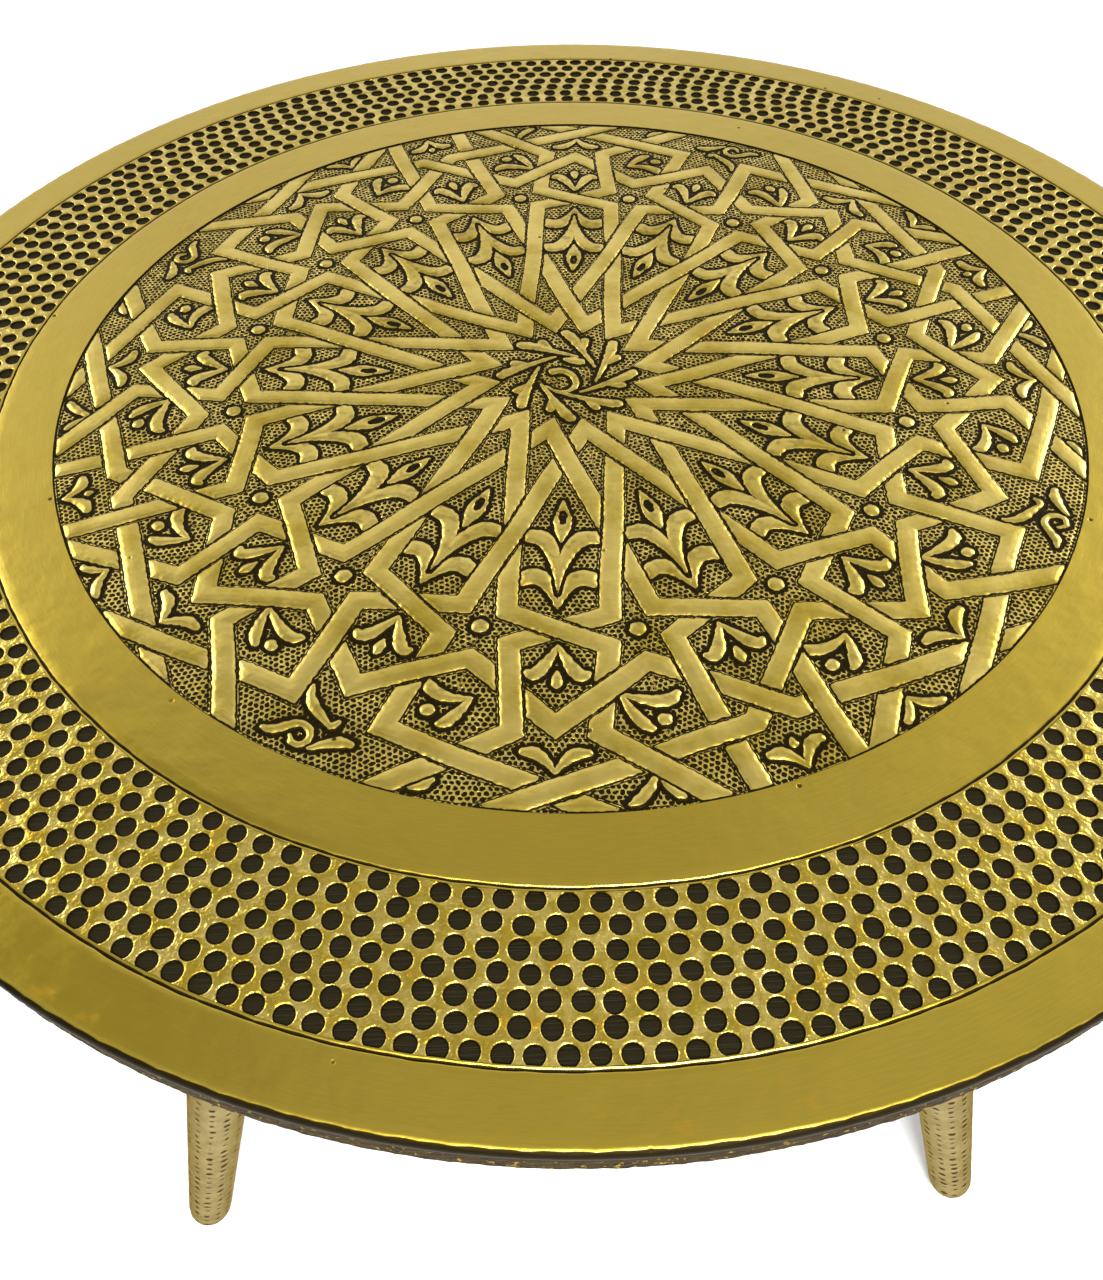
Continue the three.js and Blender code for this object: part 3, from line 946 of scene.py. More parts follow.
def relief_piece(name, points, normals, gaps, local, blocks, first, k0, k1, floor):
    """The rings from k0 to k1 as one closed mesh with a flat underside."""
    start, end = first[k0], first[k1] + 6 * k1
    top = np.concatenate(blocks[k0:k1]) - start
    upper = points[start:end]
    inner_ring = np.arange(max(6 * k0, 1)) + first[k0] - start
    outer_ring = np.arange(6 * k1) + first[k1] - start
    count_top = len(upper)
    lower = np.concatenate([upper[inner_ring], upper[outer_ring]])
    lower[:, 2] = floor
    inner_low = count_top + np.arange(len(inner_ring))
    outer_low = count_top + len(inner_ring) + np.arange(len(outer_ring))
    ahead = np.roll(np.arange(len(outer_ring)), -1)
    walls = [
        np.stack([outer_ring, outer_low, outer_low[ahead]], 1),
        np.stack([outer_ring, outer_low[ahead], outer_ring[ahead]], 1),
    ]
    if k0:
        ahead = np.roll(np.arange(len(inner_ring)), -1)
        walls.append(np.stack([inner_ring, inner_low[ahead], inner_low], 1))
        walls.append(np.stack([inner_ring, inner_ring[ahead], inner_low[ahead]], 1))
    base = np.array(zipped(inner_low.tolist(), outer_low.tolist()))
    triangles = np.concatenate([top, *walls, base])
    everything = np.concatenate([upper, lower])
    mesh = triangle_mesh(name, everything, triangles)
    a, b, c = everything[triangles].transpose(1, 0, 2)
    flat = np.cross(b - a, c - a)
    flat /= np.maximum(np.linalg.norm(flat, axis=1, keepdims=True), 1e-20)
    corners = np.repeat(flat[:, None], 3, 1)
    corners[: len(top)] = normals[start:end][top]
    mesh.shade_smooth()
    mesh.normals_split_custom_set(corners.reshape(-1, 3).tolist())
    for label, gap in gaps.items():
        layer = mesh.attributes.new(label, "FLOAT", "POINT")
        values = np.concatenate([gap[start:end], np.full(len(lower), -4 * MM)]) / MM
        layer.data.foreach_set("value", values.astype(np.float32))
    sheet = mesh.uv_layers.new(name="ground")
    spread = np.concatenate([local[start:end], np.zeros((len(lower), 2))])
    sheet.data.foreach_set("uv", spread[triangles.ravel()].astype(np.float32).ravel())
    return mesh


def point_normals(points, triangles):
    a, b, c = points[triangles].transpose(1, 0, 2)
    flat = np.cross(b - a, c - a)
    total = np.zeros_like(points)
    for k in range(3):
        for axis in range(3):
            total[:, axis] += np.bincount(triangles[:, k], flat[:, axis], len(points))
    return total / np.maximum(np.linalg.norm(total, axis=1, keepdims=True), 1e-20)


class TRAY_OT_medallion(bpy.types.Operator):
    """Chase the interlaced star into the middle of the sheet"""

    bl_idname = "tray.medallion"
    bl_label = "Star medallion"
    PIECES = 4

    def execute(self, context):
        sizes = context.scene.tray_medallion
        rings = round(sizes.radius / (sizes.mesh * 1.0))
        pitch = sizes.radius / rings
        blocks, first = disc_rings(rings)
        flat = disc_points(rings, sizes.radius)
        lines = strands()
        met = weave(lines)
        gap = nearest_gap(flat, sizes, lines, met)
        nudged = [nearest_gap(flat + by, sizes, lines, met) - gap for by in ((NUDGE, 0), (0, NUDGE))]
        slope = np.stack(nudged, 1) / NUDGE
        steep = np.maximum((slope**2).sum(1), LEAST_SLOPE)
        free = np.arange(len(flat)) < first[rings]
        snapped = np.zeros(len(flat), bool)
        for level in (0.0, WALL):
            pull = level - gap
            near = free & ~snapped & (np.abs(pull) < SNAP * pitch)
            flat[near] += slope[near] * (pull[near] / steep[near])[:, None]
            snapped |= near
        straps, leaves, rim, dip = relief_fields(flat, sizes, lines, met)
        height = relief_height(straps, leaves, rim, dip, sizes.depth)
        gaps = {"gap": np.minimum(straps, rim), "leaf": leaves}
        waves = waver(flat[:, 0], (1, 90, 0.2), (1, 170, 1.0)) * waver(flat[:, 1], (1, 110, 0.7))
        height += UNEVEN * (waves - 2)
        height[first[rings] :] = 0.0
        height = np.minimum(height, 0.0)
        points = np.concatenate([flat, TOP + height[:, None]], 1)
        normals = point_normals(points, np.concatenate(blocks))
        normals[first[rings] :] = (0, 0, 1)
        x, y = pattern_place(flat, sizes).T
        radius, around = np.hypot(x, y), np.arctan2(y, x)
        offset = around - np.round(around / STEP) * STEP
        local = np.stack([radius * np.sin(offset), radius * np.cos(offset)], 1) * sizes.radius / MM
        material = sheet_brass("chased_brass", relief=True)
        cuts = [round(rings * math.sqrt(k / self.PIECES)) for k in range(self.PIECES + 1)]
        for k, (inner, outer) in enumerate(zip(cuts, cuts[1:])):
            name = f"star_medallion_{k + 1}"
            args = (points, normals, gaps, local, blocks, first, inner, outer, TOP - sizes.floor)
            piece(name, relief_piece(name, *args), material, "polished_brass", "top_sheet")
        return {"FINISHED"}


# ---- the rest of the sheet ----
# The turned rings meet the punched one this far past their engraved lines.
JOIN = 0.3 * MM
WANDER_REACH = 6 * MM


def groove(radius, width, depth):
    """A rounded groove across the top face, from its inner to its outer lip."""
    half = width / 2
    steps = [(-1.0, 0.0), (-0.72, 0.12), (-0.35, 0.8), (0.0, 1.0), (0.35, 0.8), (0.72, 0.12), (1.0, 0.0)]
    return [(radius + half * x, TOP - depth * y) for x, y in steps]


def groove_wander(radius):
    """Lets the points near an engraved circle stray from it, as a hand-held graver does."""

    def moved(around, rim, height):
        near = np.clip(1 - np.abs(rim - radius) / WANDER_REACH, 0, 1)
        stray = waver(around, (0.16, 9, 0.3), (0.10, 31, 1.7), (0.07, 83, 2.9), (0.05, 157, 0.5)) * MM
        chatter = 1 + 0.22 * waver(around, (1, 211, 0.1), (0.6, 97, 1.3)) * (height < TOP)
        upper = height > TOP - 0.99 * SHEET
        return rim + near * stray, TOP + (height - TOP) * np.where(upper, chatter, 1)

    return moved


class TRAY_OT_rings(bpy.types.Operator):
    """Turn the plain rings of the sheet, with its engraved lines, rolled edge and skirt"""

    bl_idname = "tray.rings"
    bl_label = "Plain rings and rolled edge"
    SEGMENTS = 720

    def execute(self, context):
        sizes = context.scene.tray_sheet
        inside = context.scene.tray_medallion.radius
        material = sheet_brass("sheet_brass")
        under = TOP - SHEET
        edge = sizes.inner_line + sizes.line_width / 2
        steps = np.linspace(inside, edge - sizes.line_width, 8)
        profile = [(r, TOP) for r in steps[:-1]]
        profile += groove(sizes.inner_line, sizes.line_width, sizes.line_depth)
        profile += [(edge + JOIN, TOP), (edge + JOIN, under), (inside, under)]
        self.turn("plain_ring", profile, sizes.inner_line, material)

        start = sizes.outer_line - sizes.line_width / 2 - JOIN
        centre, level = TOP_RADIUS - sizes.bead, TOP - sizes.bead
        skirt = TOP_RADIUS - sizes.skirt_inset
        profile = [(start, TOP)] + groove(sizes.outer_line, sizes.line_width, sizes.line_depth)
        profile += [(r, TOP) for r in np.linspace(sizes.outer_line + 3 * MM, centre, 7)]
        last = -math.acos((skirt - centre) / sizes.bead)
        for a in np.linspace(math.pi / 2, last, 15)[1:]:
            profile.append((centre + sizes.bead * math.cos(a), level + sizes.bead * math.sin(a)))
        low = SHEET_LOW.z
        drop = profile[-1][1] - low
        for hollow, share_up in ((0.25 * MM, 0.75), (0.3 * MM, 0.4), (0.0, 0.0)):
            profile.append((skirt - hollow, low + drop * share_up))
        profile += [(skirt - SHEET, low), (skirt - SHEET, under), (start, under)]
        self.turn("rolled_rim", profile, sizes.outer_line, material)
        return {"FINISHED"}

    def turn(self, name, profile, line, material):
        points, faces = turned(profile[::-1], self.SEGMENTS, groove_wander(line))
        mesh = mesh_of(points, faces, name)
        smooth_by_angle(mesh, 50)
        piece(name, mesh, material, "polished_brass", "top_sheet")


def tree_with(name, inputs):
    """A Geometry Nodes tree with named inputs: returns its web and its input wires by name."""
    tree = bpy.data.node_groups.new(name, "GeometryNodeTree")
    for label, (kind, default) in inputs.items():
        socket = tree.interface.new_socket(label, in_out="INPUT", socket_type="NodeSocket" + kind)
        if default is not None:
            socket.default_value = default
    tree.interface.new_socket("Geometry", in_out="OUTPUT", socket_type="NodeSocketGeometry")
    web = Web(tree)
    source = tree.nodes.new("NodeGroupInput")
    return web, {label: Wire(web, source.outputs[label]) for label in inputs}


def tree_end(web, geometry, material):
    """Ends a tree: real geometry with its material set."""
    real = web.node("GeometryNodeRealizeInstances", None, {"Geometry": geometry})
    shown = web.node("GeometryNodeSetMaterial", None, {"Geometry": real, "Material": material})
    sink = web.tree.nodes.new("NodeGroupOutput")
    web.tree.links.new(shown.socket, sink.inputs["Geometry"])
    return web.tree


def grown(name, tree, values, mesh=None):
    """Runs a tree with those values and gives its result as a plain mesh."""
    host = bpy.data.objects.new(name, mesh or bpy.data.meshes.new(name))
    bpy.context.scene.collection.objects.link(host)
    modifier = host.modifiers.new(name, "NODES")
    modifier.node_group = tree
    for item in tree.interface.items_tree:
        if item.item_type == "SOCKET" and item.in_out == "INPUT" and item.name in values:
            modifier[item.identifier] = values[item.name]
    graph = bpy.context.evaluated_depsgraph_get()
    made = bpy.data.meshes.new_from_object(host.evaluated_get(graph), depsgraph=graph)
    bpy.data.objects.remove(host)
    made.name = name
    return made


def shifted(web, geometry, by):
    return web.node("GeometryNodeTransform", None, {"Geometry": geometry, "Translation": by})


def random_vector(web, low, high, seed):
    sockets = {"Min": low, "Max": high, "Seed": seed}
    return web.node("FunctionNodeRandomValue", {"data_type": "FLOAT_VECTOR"}, sockets)


HOLE_FACETS = 16
RING_FACETS = 720
ROW_TURN = 0.37
GROW_SEED = 50.0


def perforation_tree(rows):
    """A flat ring of sheet with rows of punched holes, each with a rounded mouth."""
    inputs = {
        "Inner Radius": ("Float", 0.2), "Outer Radius": ("Float", 0.3), "Top": ("Float", 0.0),
        "Thickness": ("Float", SHEET), "First Row": ("Float", 0.2), "Row Step": ("Float", 0.01),
        "First Count": ("Float", 100.0), "Count Step": ("Float", 5.0), "Hole": ("Float", 0.003),
        "Lip": ("Float", 0.004), "Wander": ("Float", 0.0), "Seed": ("Int", 0),
        "Material": ("Material", None),
    }
    web, given = tree_with("Perforated ring", inputs)
    reach = given["Thickness"] * 1.5
    taper = {"Vertices": HOLE_FACETS, "Side Segments": 4, "Radius Top": given["Lip"]}
    taper |= {"Radius Bottom": given["Lip"], "Depth": reach}
    punch = web.node("GeometryNodeMeshCone", None, taper)
    x = web.split(web.node("GeometryNodeInputPosition"))
    y, z = x.other("Y"), x.other("Z")
    high = (z / reach).clamped()
    narrow = given["Hole"] / given["Lip"]
    waist = narrow + (1.0 - narrow) * high**2.6
    # The upper rings of the punch sit close under the face, where the mouth is roundest.
    level = (high**0.55 - 1.0) * reach + given["Thickness"] * 0.001
    lifted = web.joined(x * waist, y * waist, level)
    punch = web.node("GeometryNodeSetPosition", None, {"Geometry": punch, "Position": lifted})
    span = web.joined(given["Wander"], given["Wander"], 0.0)
    back = web.times(span, -1.0)
    lift = web.joined(0.0, 0.0, given["Top"])
    rings = []
    for k in range(rows):
        ring = {"Vertices": given["First Count"] + given["Count Step"] * k}
        ring["Radius"] = given["First Row"] + given["Row Step"] * k
        circle = web.node("GeometryNodeMeshCircle", None, ring)
        seed = given["Seed"] + float(k)
        stray = random_vector(web, back, span, seed)
        circle = web.node("GeometryNodeSetPosition", None, {"Geometry": circle, "Offset": stray})
        turn = web.joined(0.0, 0.0, ROW_TURN * k)
        circle = {"Geometry": circle, "Translation": lift, "Rotation": turn}
        circle = web.node("GeometryNodeTransform", None, circle)
        grow = random_vector(web, (0.93, 0.93, 1.0), (1.03, 1.03, 1.0), seed + GROW_SEED)
        holes = {"Points": circle, "Instance": punch, "Scale": grow}
        holes = web.node("GeometryNodeInstanceOnPoints", None, holes)
        rings.append(web.node("GeometryNodeRealizeInstances", None, {"Geometry": holes}))
    middle = web.joined(0.0, 0.0, given["Top"] - given["Thickness"] / 2.0)
    body = {"Vertices": RING_FACETS, "Radius": given["Outer Radius"], "Depth": given["Thickness"]}
    body = shifted(web, web.node("GeometryNodeMeshCylinder", None, body), middle)
    core = {"Vertices": RING_FACETS, "Radius": given["Inner Radius"], "Depth": given["Thickness"] * 4.0}
    core = shifted(web, web.node("GeometryNodeMeshCylinder", None, core), middle)
    settings = {"operation": "DIFFERENCE", "solver": "MANIFOLD"}
    cut = web.node("GeometryNodeMeshBoolean", settings, {"Mesh 1": body, "Mesh 2": [core] + rings})
    return tree_end(web, cut, given["Material"])


def level_normals(mesh, top):
    """Smooth normals in the holes, and straight up or down ones on the two flat faces."""
    co = np.empty(len(mesh.vertices) * 3, np.float32)
    mesh.vertices.foreach_get("co", co)
    co = co.reshape(-1, 3)
    corners = np.empty(len(mesh.loops), np.int32)
    mesh.loops.foreach_get("vertex_index", corners)
    totals = np.empty(len(mesh.polygons), np.int32)
    mesh.polygons.foreach_get("loop_total", totals)
    faces = np.empty(len(mesh.polygons) * 3, np.float32)
    mesh.polygons.foreach_get("normal", faces)
    per_corner = np.repeat(faces.reshape(-1, 3), totals, 0)
    level = np.abs(per_corner[:, 2]) > 0.999
    total = np.zeros((len(co), 3))
    for axis in range(3):
        total[:, axis] = np.bincount(corners, per_corner[:, axis] * ~level, len(co))
    total /= np.maximum(np.linalg.norm(total, axis=1, keepdims=True), 1e-9)
    normals = total[corners]
    at_top = co[corners, 2] > top - 0.02 * MM
    normals[at_top] = (0, 0, 1)
    normals[level] = per_corner[level]
    mesh.shade_smooth()
    mesh.normals_split_custom_set(normals.tolist())


class TRAY_OT_holes(bpy.types.Operator):
    """Punch the rows of holes in the ring between the two engraved lines"""

    bl_idname = "tray.holes"
    bl_label = "Perforated ring"

    def execute(self, context):
        sizes = context.scene.tray_sheet
        tree = perforation_tree(sizes.rows)
        material = sheet_brass("punched_brass", punched=True)
        start = sizes.inner_line + sizes.line_width / 2 + JOIN
        end = sizes.outer_line - sizes.line_width / 2 - JOIN
        middle = sizes.first_row + sizes.row_step * (sizes.rows / 2)
        values = {
            "Top": TOP, "Thickness": SHEET, "First Row": sizes.first_row, "Row Step": sizes.row_step,
            "First Count": float(sizes.first_count), "Count Step": sizes.count_step, "Hole": sizes.hole,
            "Lip": sizes.lip, "Wander": sizes.wander, "Seed": sizes.seed, "Material": material,
        }
        halves = (("perforated_ring_inner", start, middle), ("perforated_ring_outer", middle, end))
        for name, inner, outer in halves:
            mesh = grown(name, tree, values | {"Inner Radius": inner, "Outer Radius": outer})
            if not len(mesh.polygons):
                raise RuntimeError(f"{name} came out empty")
            level_normals(mesh, TOP)
            piece(name, mesh, None, "polished_brass", "top_sheet")
        return {"FINISHED"}


class TRAY_OT_edge(bpy.types.Operator):
    """Hammer the band round the board's edge, with its hem turned in below"""

    bl_idname = "tray.edge"
    bl_label = "Edge band"
    SEGMENTS = 1200
    HEM = 13 * MM

    def execute(self, context):
        sizes = context.scene.tray_edge
        outer = BAND_HIGH.x
        inner = outer - SHEET
        low, high = BAND_LOW.z, BAND_HIGH.z
        hem = inner - self.HEM
        wall = np.linspace(low + 0.6 * MM, high, 11)
        profile = [(hem, low), (inner, low), (outer - 0.5 * MM, low + 0.1 * MM)]
        profile += [(outer, z) for z in wall]
        profile += [(inner, high), (inner, low + SHEET), (hem, low + SHEET)]

        def hammered(around, radius, height):
            a, z = around * outer / sizes.grain, height / sizes.grain
            marks = np.sin(a * 1.9 + 2.4 * np.sin(z * 2.3) + waver(a, (1.2, 0.37, 0.2)))
            marks = marks * np.cos(z * 2.9 + 1.7 * np.sin(a * 0.83) + waver(a, (1.5, 0.21, 1.1)))
            fine = np.sin(a * 4.7 + 3 * z) * np.cos(z * 5.1 - 1.3 * a)
            dent = sizes.crinkle * (0.5 + 0.36 * marks + 0.14 * fine)
            face = (radius > outer - 0.1 * MM) & (height > low + 0.2 * MM)
            return radius - np.where(face, dent, 0.0), height

        points, faces = turned(profile, self.SEGMENTS, hammered)
        mesh = mesh_of(points, faces, "hammered_band")
        smooth_by_angle(mesh, 60)
        piece("hammered_band", mesh, band_brass(), "aged_brass", "edge_band")
        return {"FINISHED"}


# ---- legs ----
def leg_tree():
    """Columns of punch marks driven into a leg, with the marks kept as an attribute."""
    inputs = {
        "Geometry": ("Geometry", None), "Columns": ("Float", 12.0), "Pitch": ("Float", 0.006),
        "Half Length": ("Float", 0.0015), "Half Width": ("Float", 0.0008), "Depth": ("Float", 0.0005),
        "Seed": ("Float", 0.0), "Material": ("Material", None),
    }
    web, given = tree_with("Punched leg", inputs)

    def named(name):
        return web.node("GeometryNodeInputNamedAttribute", {"data_type": "FLOAT"}, {"Name": name})

    def chance(dimensions, sockets):
        """A random value from 0 to 1 that stays the same for the same sockets."""
        settings = {"noise_dimensions": dimensions}
        return web.node("ShaderNodeTexWhiteNoise", settings, sockets, "Value")

    along, around, radius = named("along"), named("around"), named("radius")
    column = around * given["Columns"]
    number = column.math("FLOOR", column)
    ragged = chance("1D", {"W": number + given["Seed"]})
    drift = web.joined(number * 3.1 + given["Seed"], along * 38.0, 0.0)
    sway = web.noise(drift, 1.0, 2.0) - 0.5
    row = along / given["Pitch"] + ragged + sway * 1.6
    step = row.math("FLOOR", row)
    width = radius * TURN / given["Columns"]
    key = web.joined(number, step, given["Seed"])
    odd = chance("3D", {"Vector": key})
    shift = chance("3D", {"Vector": web.scaled(key, (1.7, 2.3, 1.1))})
    across = (column - number - 0.5 + sway * 0.25 + (shift - 0.5) * 0.12) * width
    up = (row - step - 0.5 + (odd - 0.5) * 0.25) * given["Pitch"]
    size = 0.75 + odd * 0.5
    reach = across / (given["Half Length"] * size)
    rise = up / (given["Half Width"] * size)
    mark = (1.0 - (reach * reach + rise * rise)).clamped() ** 0.6
    wall = named("outside")
    mark = mark * wall * (0.6 + odd * 0.4)
    place = web.node("GeometryNodeInputPosition")
    hammer = web.noise(place, 95.0, 2.0) * wall * 0.0005
    fall = 0.0 - mark * given["Depth"] - hammer
    offset = web.times(web.node("GeometryNodeInputNormal"), fall)
    kind = {"data_type": "FLOAT", "domain": "POINT"}
    store = {"Geometry": given["Geometry"], "Name": "mark", "Value": mark}
    kept = web.node("GeometryNodeStoreNamedAttribute", kind, store)
    shaped = web.node("GeometryNodeSetPosition", None, {"Geometry": kept, "Offset": offset})
    return tree_end(web, shaped, given["Material"])


LEG_SEGMENTS = 144
LEG_ROW = 1.15 * MM


def on_arc(radius, degrees):
    a = math.radians(degrees)
    return radius * math.cos(a), radius * math.sin(a)


def leg_shell(foot, top, thickness, axis_length):
    """The (radius, height) points of a tapered sleeve with a round lower end: outside and inside."""
    outside = [on_arc(foot, -90 + 90 * k / 10) for k in range(1, 11)]
    rows = round(axis_length / LEG_ROW)
    for k in range(1, rows + 1):
        outside.append((foot + (top - foot) * k / rows, axis_length * k / rows))
    inside = [(top - thickness, axis_length), (foot - thickness, 0.0)]
    inside += [on_arc(foot - thickness, degrees) for degrees in (-30, -60)]
    return outside, inside


def leg_mesh(name, foot, top, thickness, axis_length):
    """A sleeve along Z, with its places kept as the attributes that the punch marks read."""
    outside, inside = leg_shell(foot, top, thickness, axis_length)
    rim = np.array(outside + inside)
    a = np.arange(LEG_SEGMENTS) / LEG_SEGMENTS * TURN
    ring = np.stack([np.cos(a), np.sin(a)], 1)
    points = [(0.0, 0.0, -foot)]
    for r, z in rim:
        points += [(r * x, r * y, z) for x, y in ring]
    points.append((0.0, 0.0, -(foot - thickness)))
    faces = []
    n = LEG_SEGMENTS
    for k in range(n):
        m = (k + 1) % n
        faces.append((0, 1 + m, 1 + k))
        for row in range(len(rim) - 1):
            here = 1 + row * n
            faces.append((here + k, here + m, here + n + m, here + n + k))
        last = 1 + (len(rim) - 1) * n
        faces.append((last + k, last + m, len(points) - 1))
    mesh = mesh_of(points, faces, name)
    around = np.concatenate([[0.0], np.tile(a / TURN, len(rim)), [0.0]])
    along = np.concatenate([[-foot], np.repeat(rim[:, 1], n), [0.0]])
    radius = np.concatenate([[foot], np.repeat(np.maximum(rim[:, 0], foot * 0.5), n), [foot]])
    shown = np.concatenate([[0.0], np.repeat(np.arange(len(rim)) < len(outside), n), [0.0]])
    layers = {"around": around, "along": along, "radius": radius, "outside": shown}
    for label, values in layers.items():
        layer = mesh.attributes.new(label, "FLOAT", "POINT")
        layer.data.foreach_set("value", values.astype(np.float32))
    return mesh


class TRAY_OT_legs(bpy.types.Operator):
    """Make the four punched brass leg sleeves"""

    bl_idname = "tray.legs"
    bl_label = "Punched legs"
    SPLAY = math.radians(16)
    FOOT_CIRCLE = 326 * MM
    FOOT = 13 * MM
    TAPER = 0.036
    FOOT_HEIGHT = 14.5 * MM
    UNDER_BOARD = 14 * MM
    FIRST_SEED, SEED_STEP = 11.0, 7.0

    def execute(self, context):
        sizes = context.scene.tray_leg
        height = BOARD_LOW.z - self.UNDER_BOARD - self.FOOT_HEIGHT
        axis_length = height / math.cos(self.SPLAY)
        top = self.FOOT + self.TAPER * axis_length
        tree = leg_tree()
        material = leg_brass()
        for k in range(LEGS):
            name = f"punched_leg_{k + 1}"
            plain = leg_mesh(name, self.FOOT, top, SHEET, axis_length)
            values = {
                "Columns": float(sizes.columns), "Pitch": sizes.pitch, "Half Length": sizes.mark_length,
                "Half Width": sizes.mark_width, "Depth": sizes.depth,
                "Seed": self.FIRST_SEED + self.SEED_STEP * k, "Material": material,
            }
            mesh = grown(name, tree, values, plain)
            lean = Matrix.Rotation(TURN * (k + 0.5) / LEGS, 4, "Z")
            lean = lean @ Matrix.Translation((self.FOOT_CIRCLE, 0, self.FOOT_HEIGHT))
            lean = lean @ Matrix.Rotation(-self.SPLAY, 4, "Y")
            mesh.transform(lean)
            smooth_by_angle(mesh, 60)
            piece(name, mesh, None, "leg_brass", f"leg_sleeve_{k + 1}")
        return {"FINISHED"}


# ---- screws and tacks ----
def fixing_tree():
    """A domed head and a shank pointing up, copied to each point and turned at random."""
    inputs = {
        "Geometry": ("Geometry", None), "Head": ("Float", 0.004), "Rise": ("Float", 0.0025),
        "Shank": ("Float", 0.002), "Length": ("Float", 0.011), "Recess": ("Float", 0.004),
        "Facets": ("Int", 24), "Seed": ("Int", 0), "Material": ("Material", None),
    }
    web, given = tree_with("Fixings", inputs)
    rise = given["Rise"]
    head = {"Vertices": given["Facets"], "Side Segments": 6, "Radius Top": given["Head"]}
    head |= {"Radius Bottom": given["Head"], "Depth": rise}
    head = web.node("GeometryNodeMeshCone", None, head)
    x = web.split(web.node("GeometryNodeInputPosition"))
    high = (x.other("Z") / rise).clamped()
    dome = (1.0 - high * high * 0.85) ** 0.5
    bent = web.joined(x * dome, x.other("Y") * dome, (1.0 - high) * rise - rise)
    head = web.node("GeometryNodeSetPosition", None, {"Geometry": head, "Position": bent})
    head = web.node("GeometryNodeFlipFaces", None, {"Mesh": head})
    span = given["Length"] + rise * 0.5
    shank = {"Vertices": given["Facets"], "Radius": given["Shank"], "Depth": span}
    shank = web.node("GeometryNodeMeshCylinder", None, shank)
    shank = shifted(web, shank, web.joined(0.0, 0.0, given["Length"] - span / 2.0))
    join = {"operation": "UNION", "solver": "MANIFOLD"}
    body = web.node("GeometryNodeMeshBoolean", join, {"Mesh 2": [head, shank]})
    slim = given["Recess"] * 0.24
    low = web.joined(0.0, 0.0, 0.0 - rise)
    slots = []
    for size in ((given["Recess"], slim), (slim, given["Recess"])):
        slot = web.node("GeometryNodeMeshCube", None, {"Size": web.joined(*size, rise * 1.1)})
        slots.append(shifted(web, slot, low))
    cut = {"operation": "DIFFERENCE", "solver": "MANIFOLD"}
    body = web.node("GeometryNodeMeshBoolean", cut, {"Mesh 1": body, "Mesh 2": slots})
    twist = {"Min_001": 0.0, "Max_001": TURN, "Seed": given["Seed"]}
    twist = web.node("FunctionNodeRandomValue", {"data_type": "FLOAT"}, twist, "Value_001")
    turn = web.joined(0.0, 0.0, twist)
    copies = {"Points": given["Geometry"], "Instance": body, "Rotation": turn}
    copies = web.node("GeometryNodeInstanceOnPoints", None, copies)
    return tree_end(web, copies, given["Material"])


class TRAY_OT_fixings(bpy.types.Operator):
    """Drive the screws of the plates and the tacks of the hem"""

    bl_idname = "tray.fixings"
    bl_label = "Screws and tacks"
    FACETS = 24
    SEED = 5

    def execute(self, context):
        sizes = context.scene.tray_fixings
        tree = fixing_tree()
        screw = (sizes.screw_head, sizes.screw_rise, sizes.screw_shank, sizes.recess)
        tack = (sizes.tack_head, sizes.tack_rise, sizes.tack_shank, sizes.tack_shank * 0.1)
        kinds = (
            ("plate_screws", "plate_screw_", screw, zinc_steel(), "steel_hardware"),
            ("hem_tacks", "edge_tack_", tack, band_brass(), "aged_brass"),
        )
        for name, start, (head, rise, shank, recess), material, slot in kinds:
            nodes = sorted(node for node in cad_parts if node.startswith(start))
            boxes = [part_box(node) for node in nodes]
            spots = [((low.x + high.x) / 2, (low.y + high.y) / 2, low.z + rise) for low, high in boxes]
            low, high = boxes[-1]
            deep = high.z - low.z - rise
            values = {
                "Head": head, "Rise": rise, "Shank": shank, "Length": deep, "Recess": recess,
                "Facets": self.FACETS, "Seed": self.SEED, "Material": material,
            }
            mesh = grown(name, tree, values, mesh_of(spots, [], name))
            smooth_by_angle(mesh, 35)
            piece(name, mesh, None, slot, *nodes)
        return {"FINISHED"}


class TRAY_OT_kept(bpy.types.Operator):
    """Give the board, plates, bolts, cores and pads their finishes"""

    bl_idname = "tray.kept"
    bl_label = "Board and fittings"

    def execute(self, context):
        steel = zinc_steel()
        finishes = {
            "wood_disc": board_wood(),
            "leg_core": turned_wood(),
            "foot_pad": pad_rubber(),
            "leg_plate": steel,
            "leg_bolt": steel,
        }
        for node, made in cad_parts.items():
            for start, material in finishes.items():
                if node.startswith(start):
                    made.data.materials.clear()
                    made.data.materials.append(material)
        return {"FINISHED"}


# ---- stage ----
# The directions in which the two dark flags hang, seen from the table.
LEFT_FLAG = (-0.347, 0.395, 0.850)
TOP_FLAG = (0.0, 0.50, 0.866)
FLOOR_HALF = 6.0


def area_light(name, place, aim, size, power):
    lamp = bpy.data.lights.new(name, "AREA")
    lamp.shape = "RECTANGLE"
    lamp.size, lamp.size_y = size
    lamp.energy = power
    made = bpy.data.objects.new(name, lamp)
    made.location = place
    made.rotation_euler = (Vector(aim) - Vector(place)).to_track_quat("-Z", "Y").to_euler()
    bpy.context.scene.collection.objects.link(made)


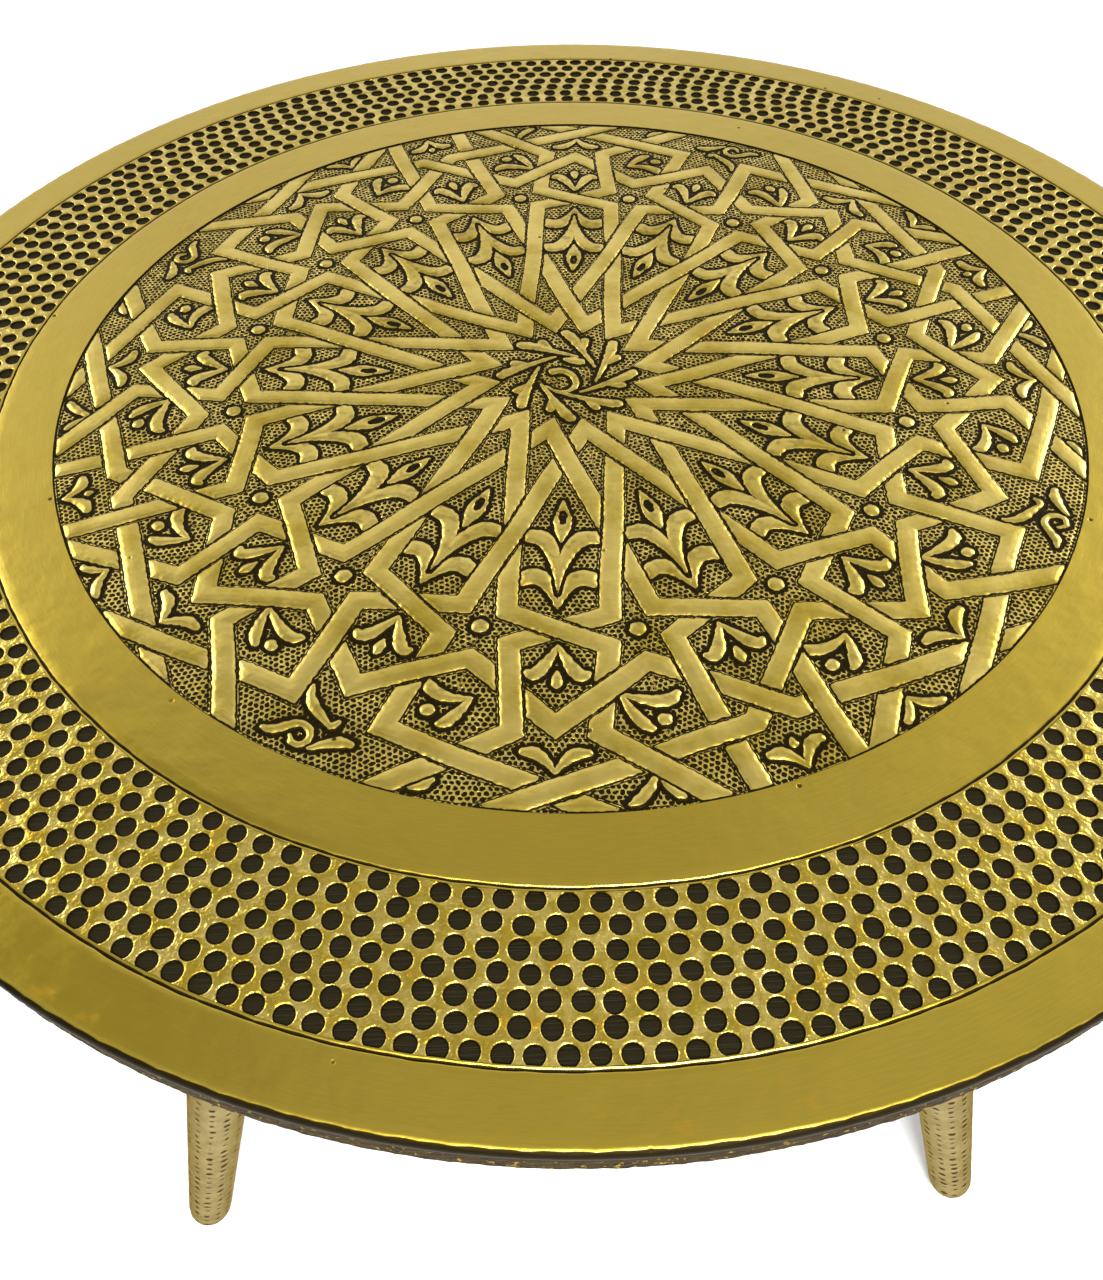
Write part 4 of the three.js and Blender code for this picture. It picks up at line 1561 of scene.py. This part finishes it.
class TRAY_OT_stage(bpy.types.Operator):
    """Set the pale floor, the soft lights and the camera"""

    bl_idname = "tray.stage"
    bl_label = "Stage"

    def execute(self, context):
        settings = context.scene.tray_stage
        half = FLOOR_HALF
        corners = [(-half, -half, 0), (half, -half, 0), (half, half, 0), (-half, half, 0)]
        mesh = mesh_of(corners, [(0, 1, 2, 3)], "floor")
        floor = bpy.data.objects.new("floor", mesh)
        context.scene.collection.objects.link(floor)
        make = Finish("pale_floor")
        mesh.materials.append(make.done({"Base Color": (0.86, 0.86, 0.86, 1.0), "Roughness": 0.9}))

        world = bpy.data.worlds.new("studio")
        world.use_nodes = True
        context.scene.world = world
        web = Web(world.node_tree)
        world.node_tree.nodes.clear()
        way = web.node("ShaderNodeTexCoord", None, None, "Generated")
        x = web.split(way)
        behind = x.other("Y").ramp(-0.05, 0.5)
        low = x.other("Z").ramp(0.74, 0.60)
        patch = web.noise(way, 3.4, 2.0).ramp(0.36, 0.64)
        left_flag = web.vector("DOT_PRODUCT", way, LEFT_FLAG, out="Value").ramp(0.978, 0.995)
        top_flag = web.vector("DOT_PRODUCT", way, TOP_FLAG, out="Value").ramp(0.970, 0.994)
        glow = 0.27 + 0.27 * behind + 0.24 * (behind * low) + 0.18 * patch
        glow = glow - 0.60 * left_flag - 0.26 * top_flag
        sockets = {"Color": (1.0, 0.99, 0.97, 1.0), "Strength": glow}
        light = web.node("ShaderNodeBackground", None, sockets)
        output = world.node_tree.nodes.new("ShaderNodeOutputWorld")
        world.node_tree.links.new(light.socket, output.inputs["Surface"])
        context.scene.view_settings.view_transform = "Standard"

        middle = (0, 0, TOP)
        area_light("front_softbox", (0.4, -2.4, 2.9), (0, 0, 0.3), (1.6, 1.0), 240)
        area_light("left_softbox", (-2.8, 1.5, 2.0), middle, (1.8, 1.8), 42)
        area_light("right_softbox", (2.8, 1.6, 1.9), middle, (1.6, 1.8), 42)

        camera = bpy.data.cameras.new("camera")
        camera.lens = settings.lens
        camera.shift_y = settings.shift
        camera.clip_start = 0.01
        made = bpy.data.objects.new("camera", camera)
        context.scene.collection.objects.link(made)
        spot_x = settings.distance * math.cos(settings.around)
        spot_y = settings.distance * math.sin(settings.around)
        aim = Matrix.Rotation(settings.heading, 4, "Z")
        aim = aim @ Matrix.Rotation(math.pi / 2 - settings.down, 4, "X")
        aim = aim @ Matrix.Rotation(settings.roll, 4, "Z")
        made.matrix_world = Matrix.Translation((spot_x, spot_y, settings.height)) @ aim
        context.scene.camera = made
        return {"FINISHED"}


OPERATORS = (
    TRAY_OT_stage,
    TRAY_OT_medallion,
    TRAY_OT_rings,
    TRAY_OT_holes,
    TRAY_OT_edge,
    TRAY_OT_legs,
    TRAY_OT_fixings,
    TRAY_OT_kept,
)


class TRAY_PT_panel(bpy.types.Panel):
    """Lists the steps that build the table"""

    bl_idname = "TRAY_PT_panel"
    bl_label = "Brass Tray Table"
    bl_space_type = "VIEW_3D"
    bl_region_type = "UI"
    bl_category = "Tray Table"

    def draw(self, context):
        for operator in OPERATORS:
            self.layout.operator(operator.bl_idname)


def register():
    for group in GROUPS.values():
        bpy.utils.register_class(group)
    for name, group in GROUPS.items():
        setattr(bpy.types.Scene, name, PointerProperty(type=group))
    for operator in OPERATORS:
        bpy.utils.register_class(operator)
    bpy.utils.register_class(TRAY_PT_panel)


def unregister():
    bpy.utils.unregister_class(TRAY_PT_panel)
    for operator in reversed(OPERATORS):
        bpy.utils.unregister_class(operator)
    for name in GROUPS:
        delattr(bpy.types.Scene, name)
    for group in reversed(list(GROUPS.values())):
        bpy.utils.unregister_class(group)


def main():
    register()
    for operator in OPERATORS:
        family, name = operator.bl_idname.split(".")
        getattr(getattr(bpy.ops, family), name)()


if __name__ == "__main__":
    main()
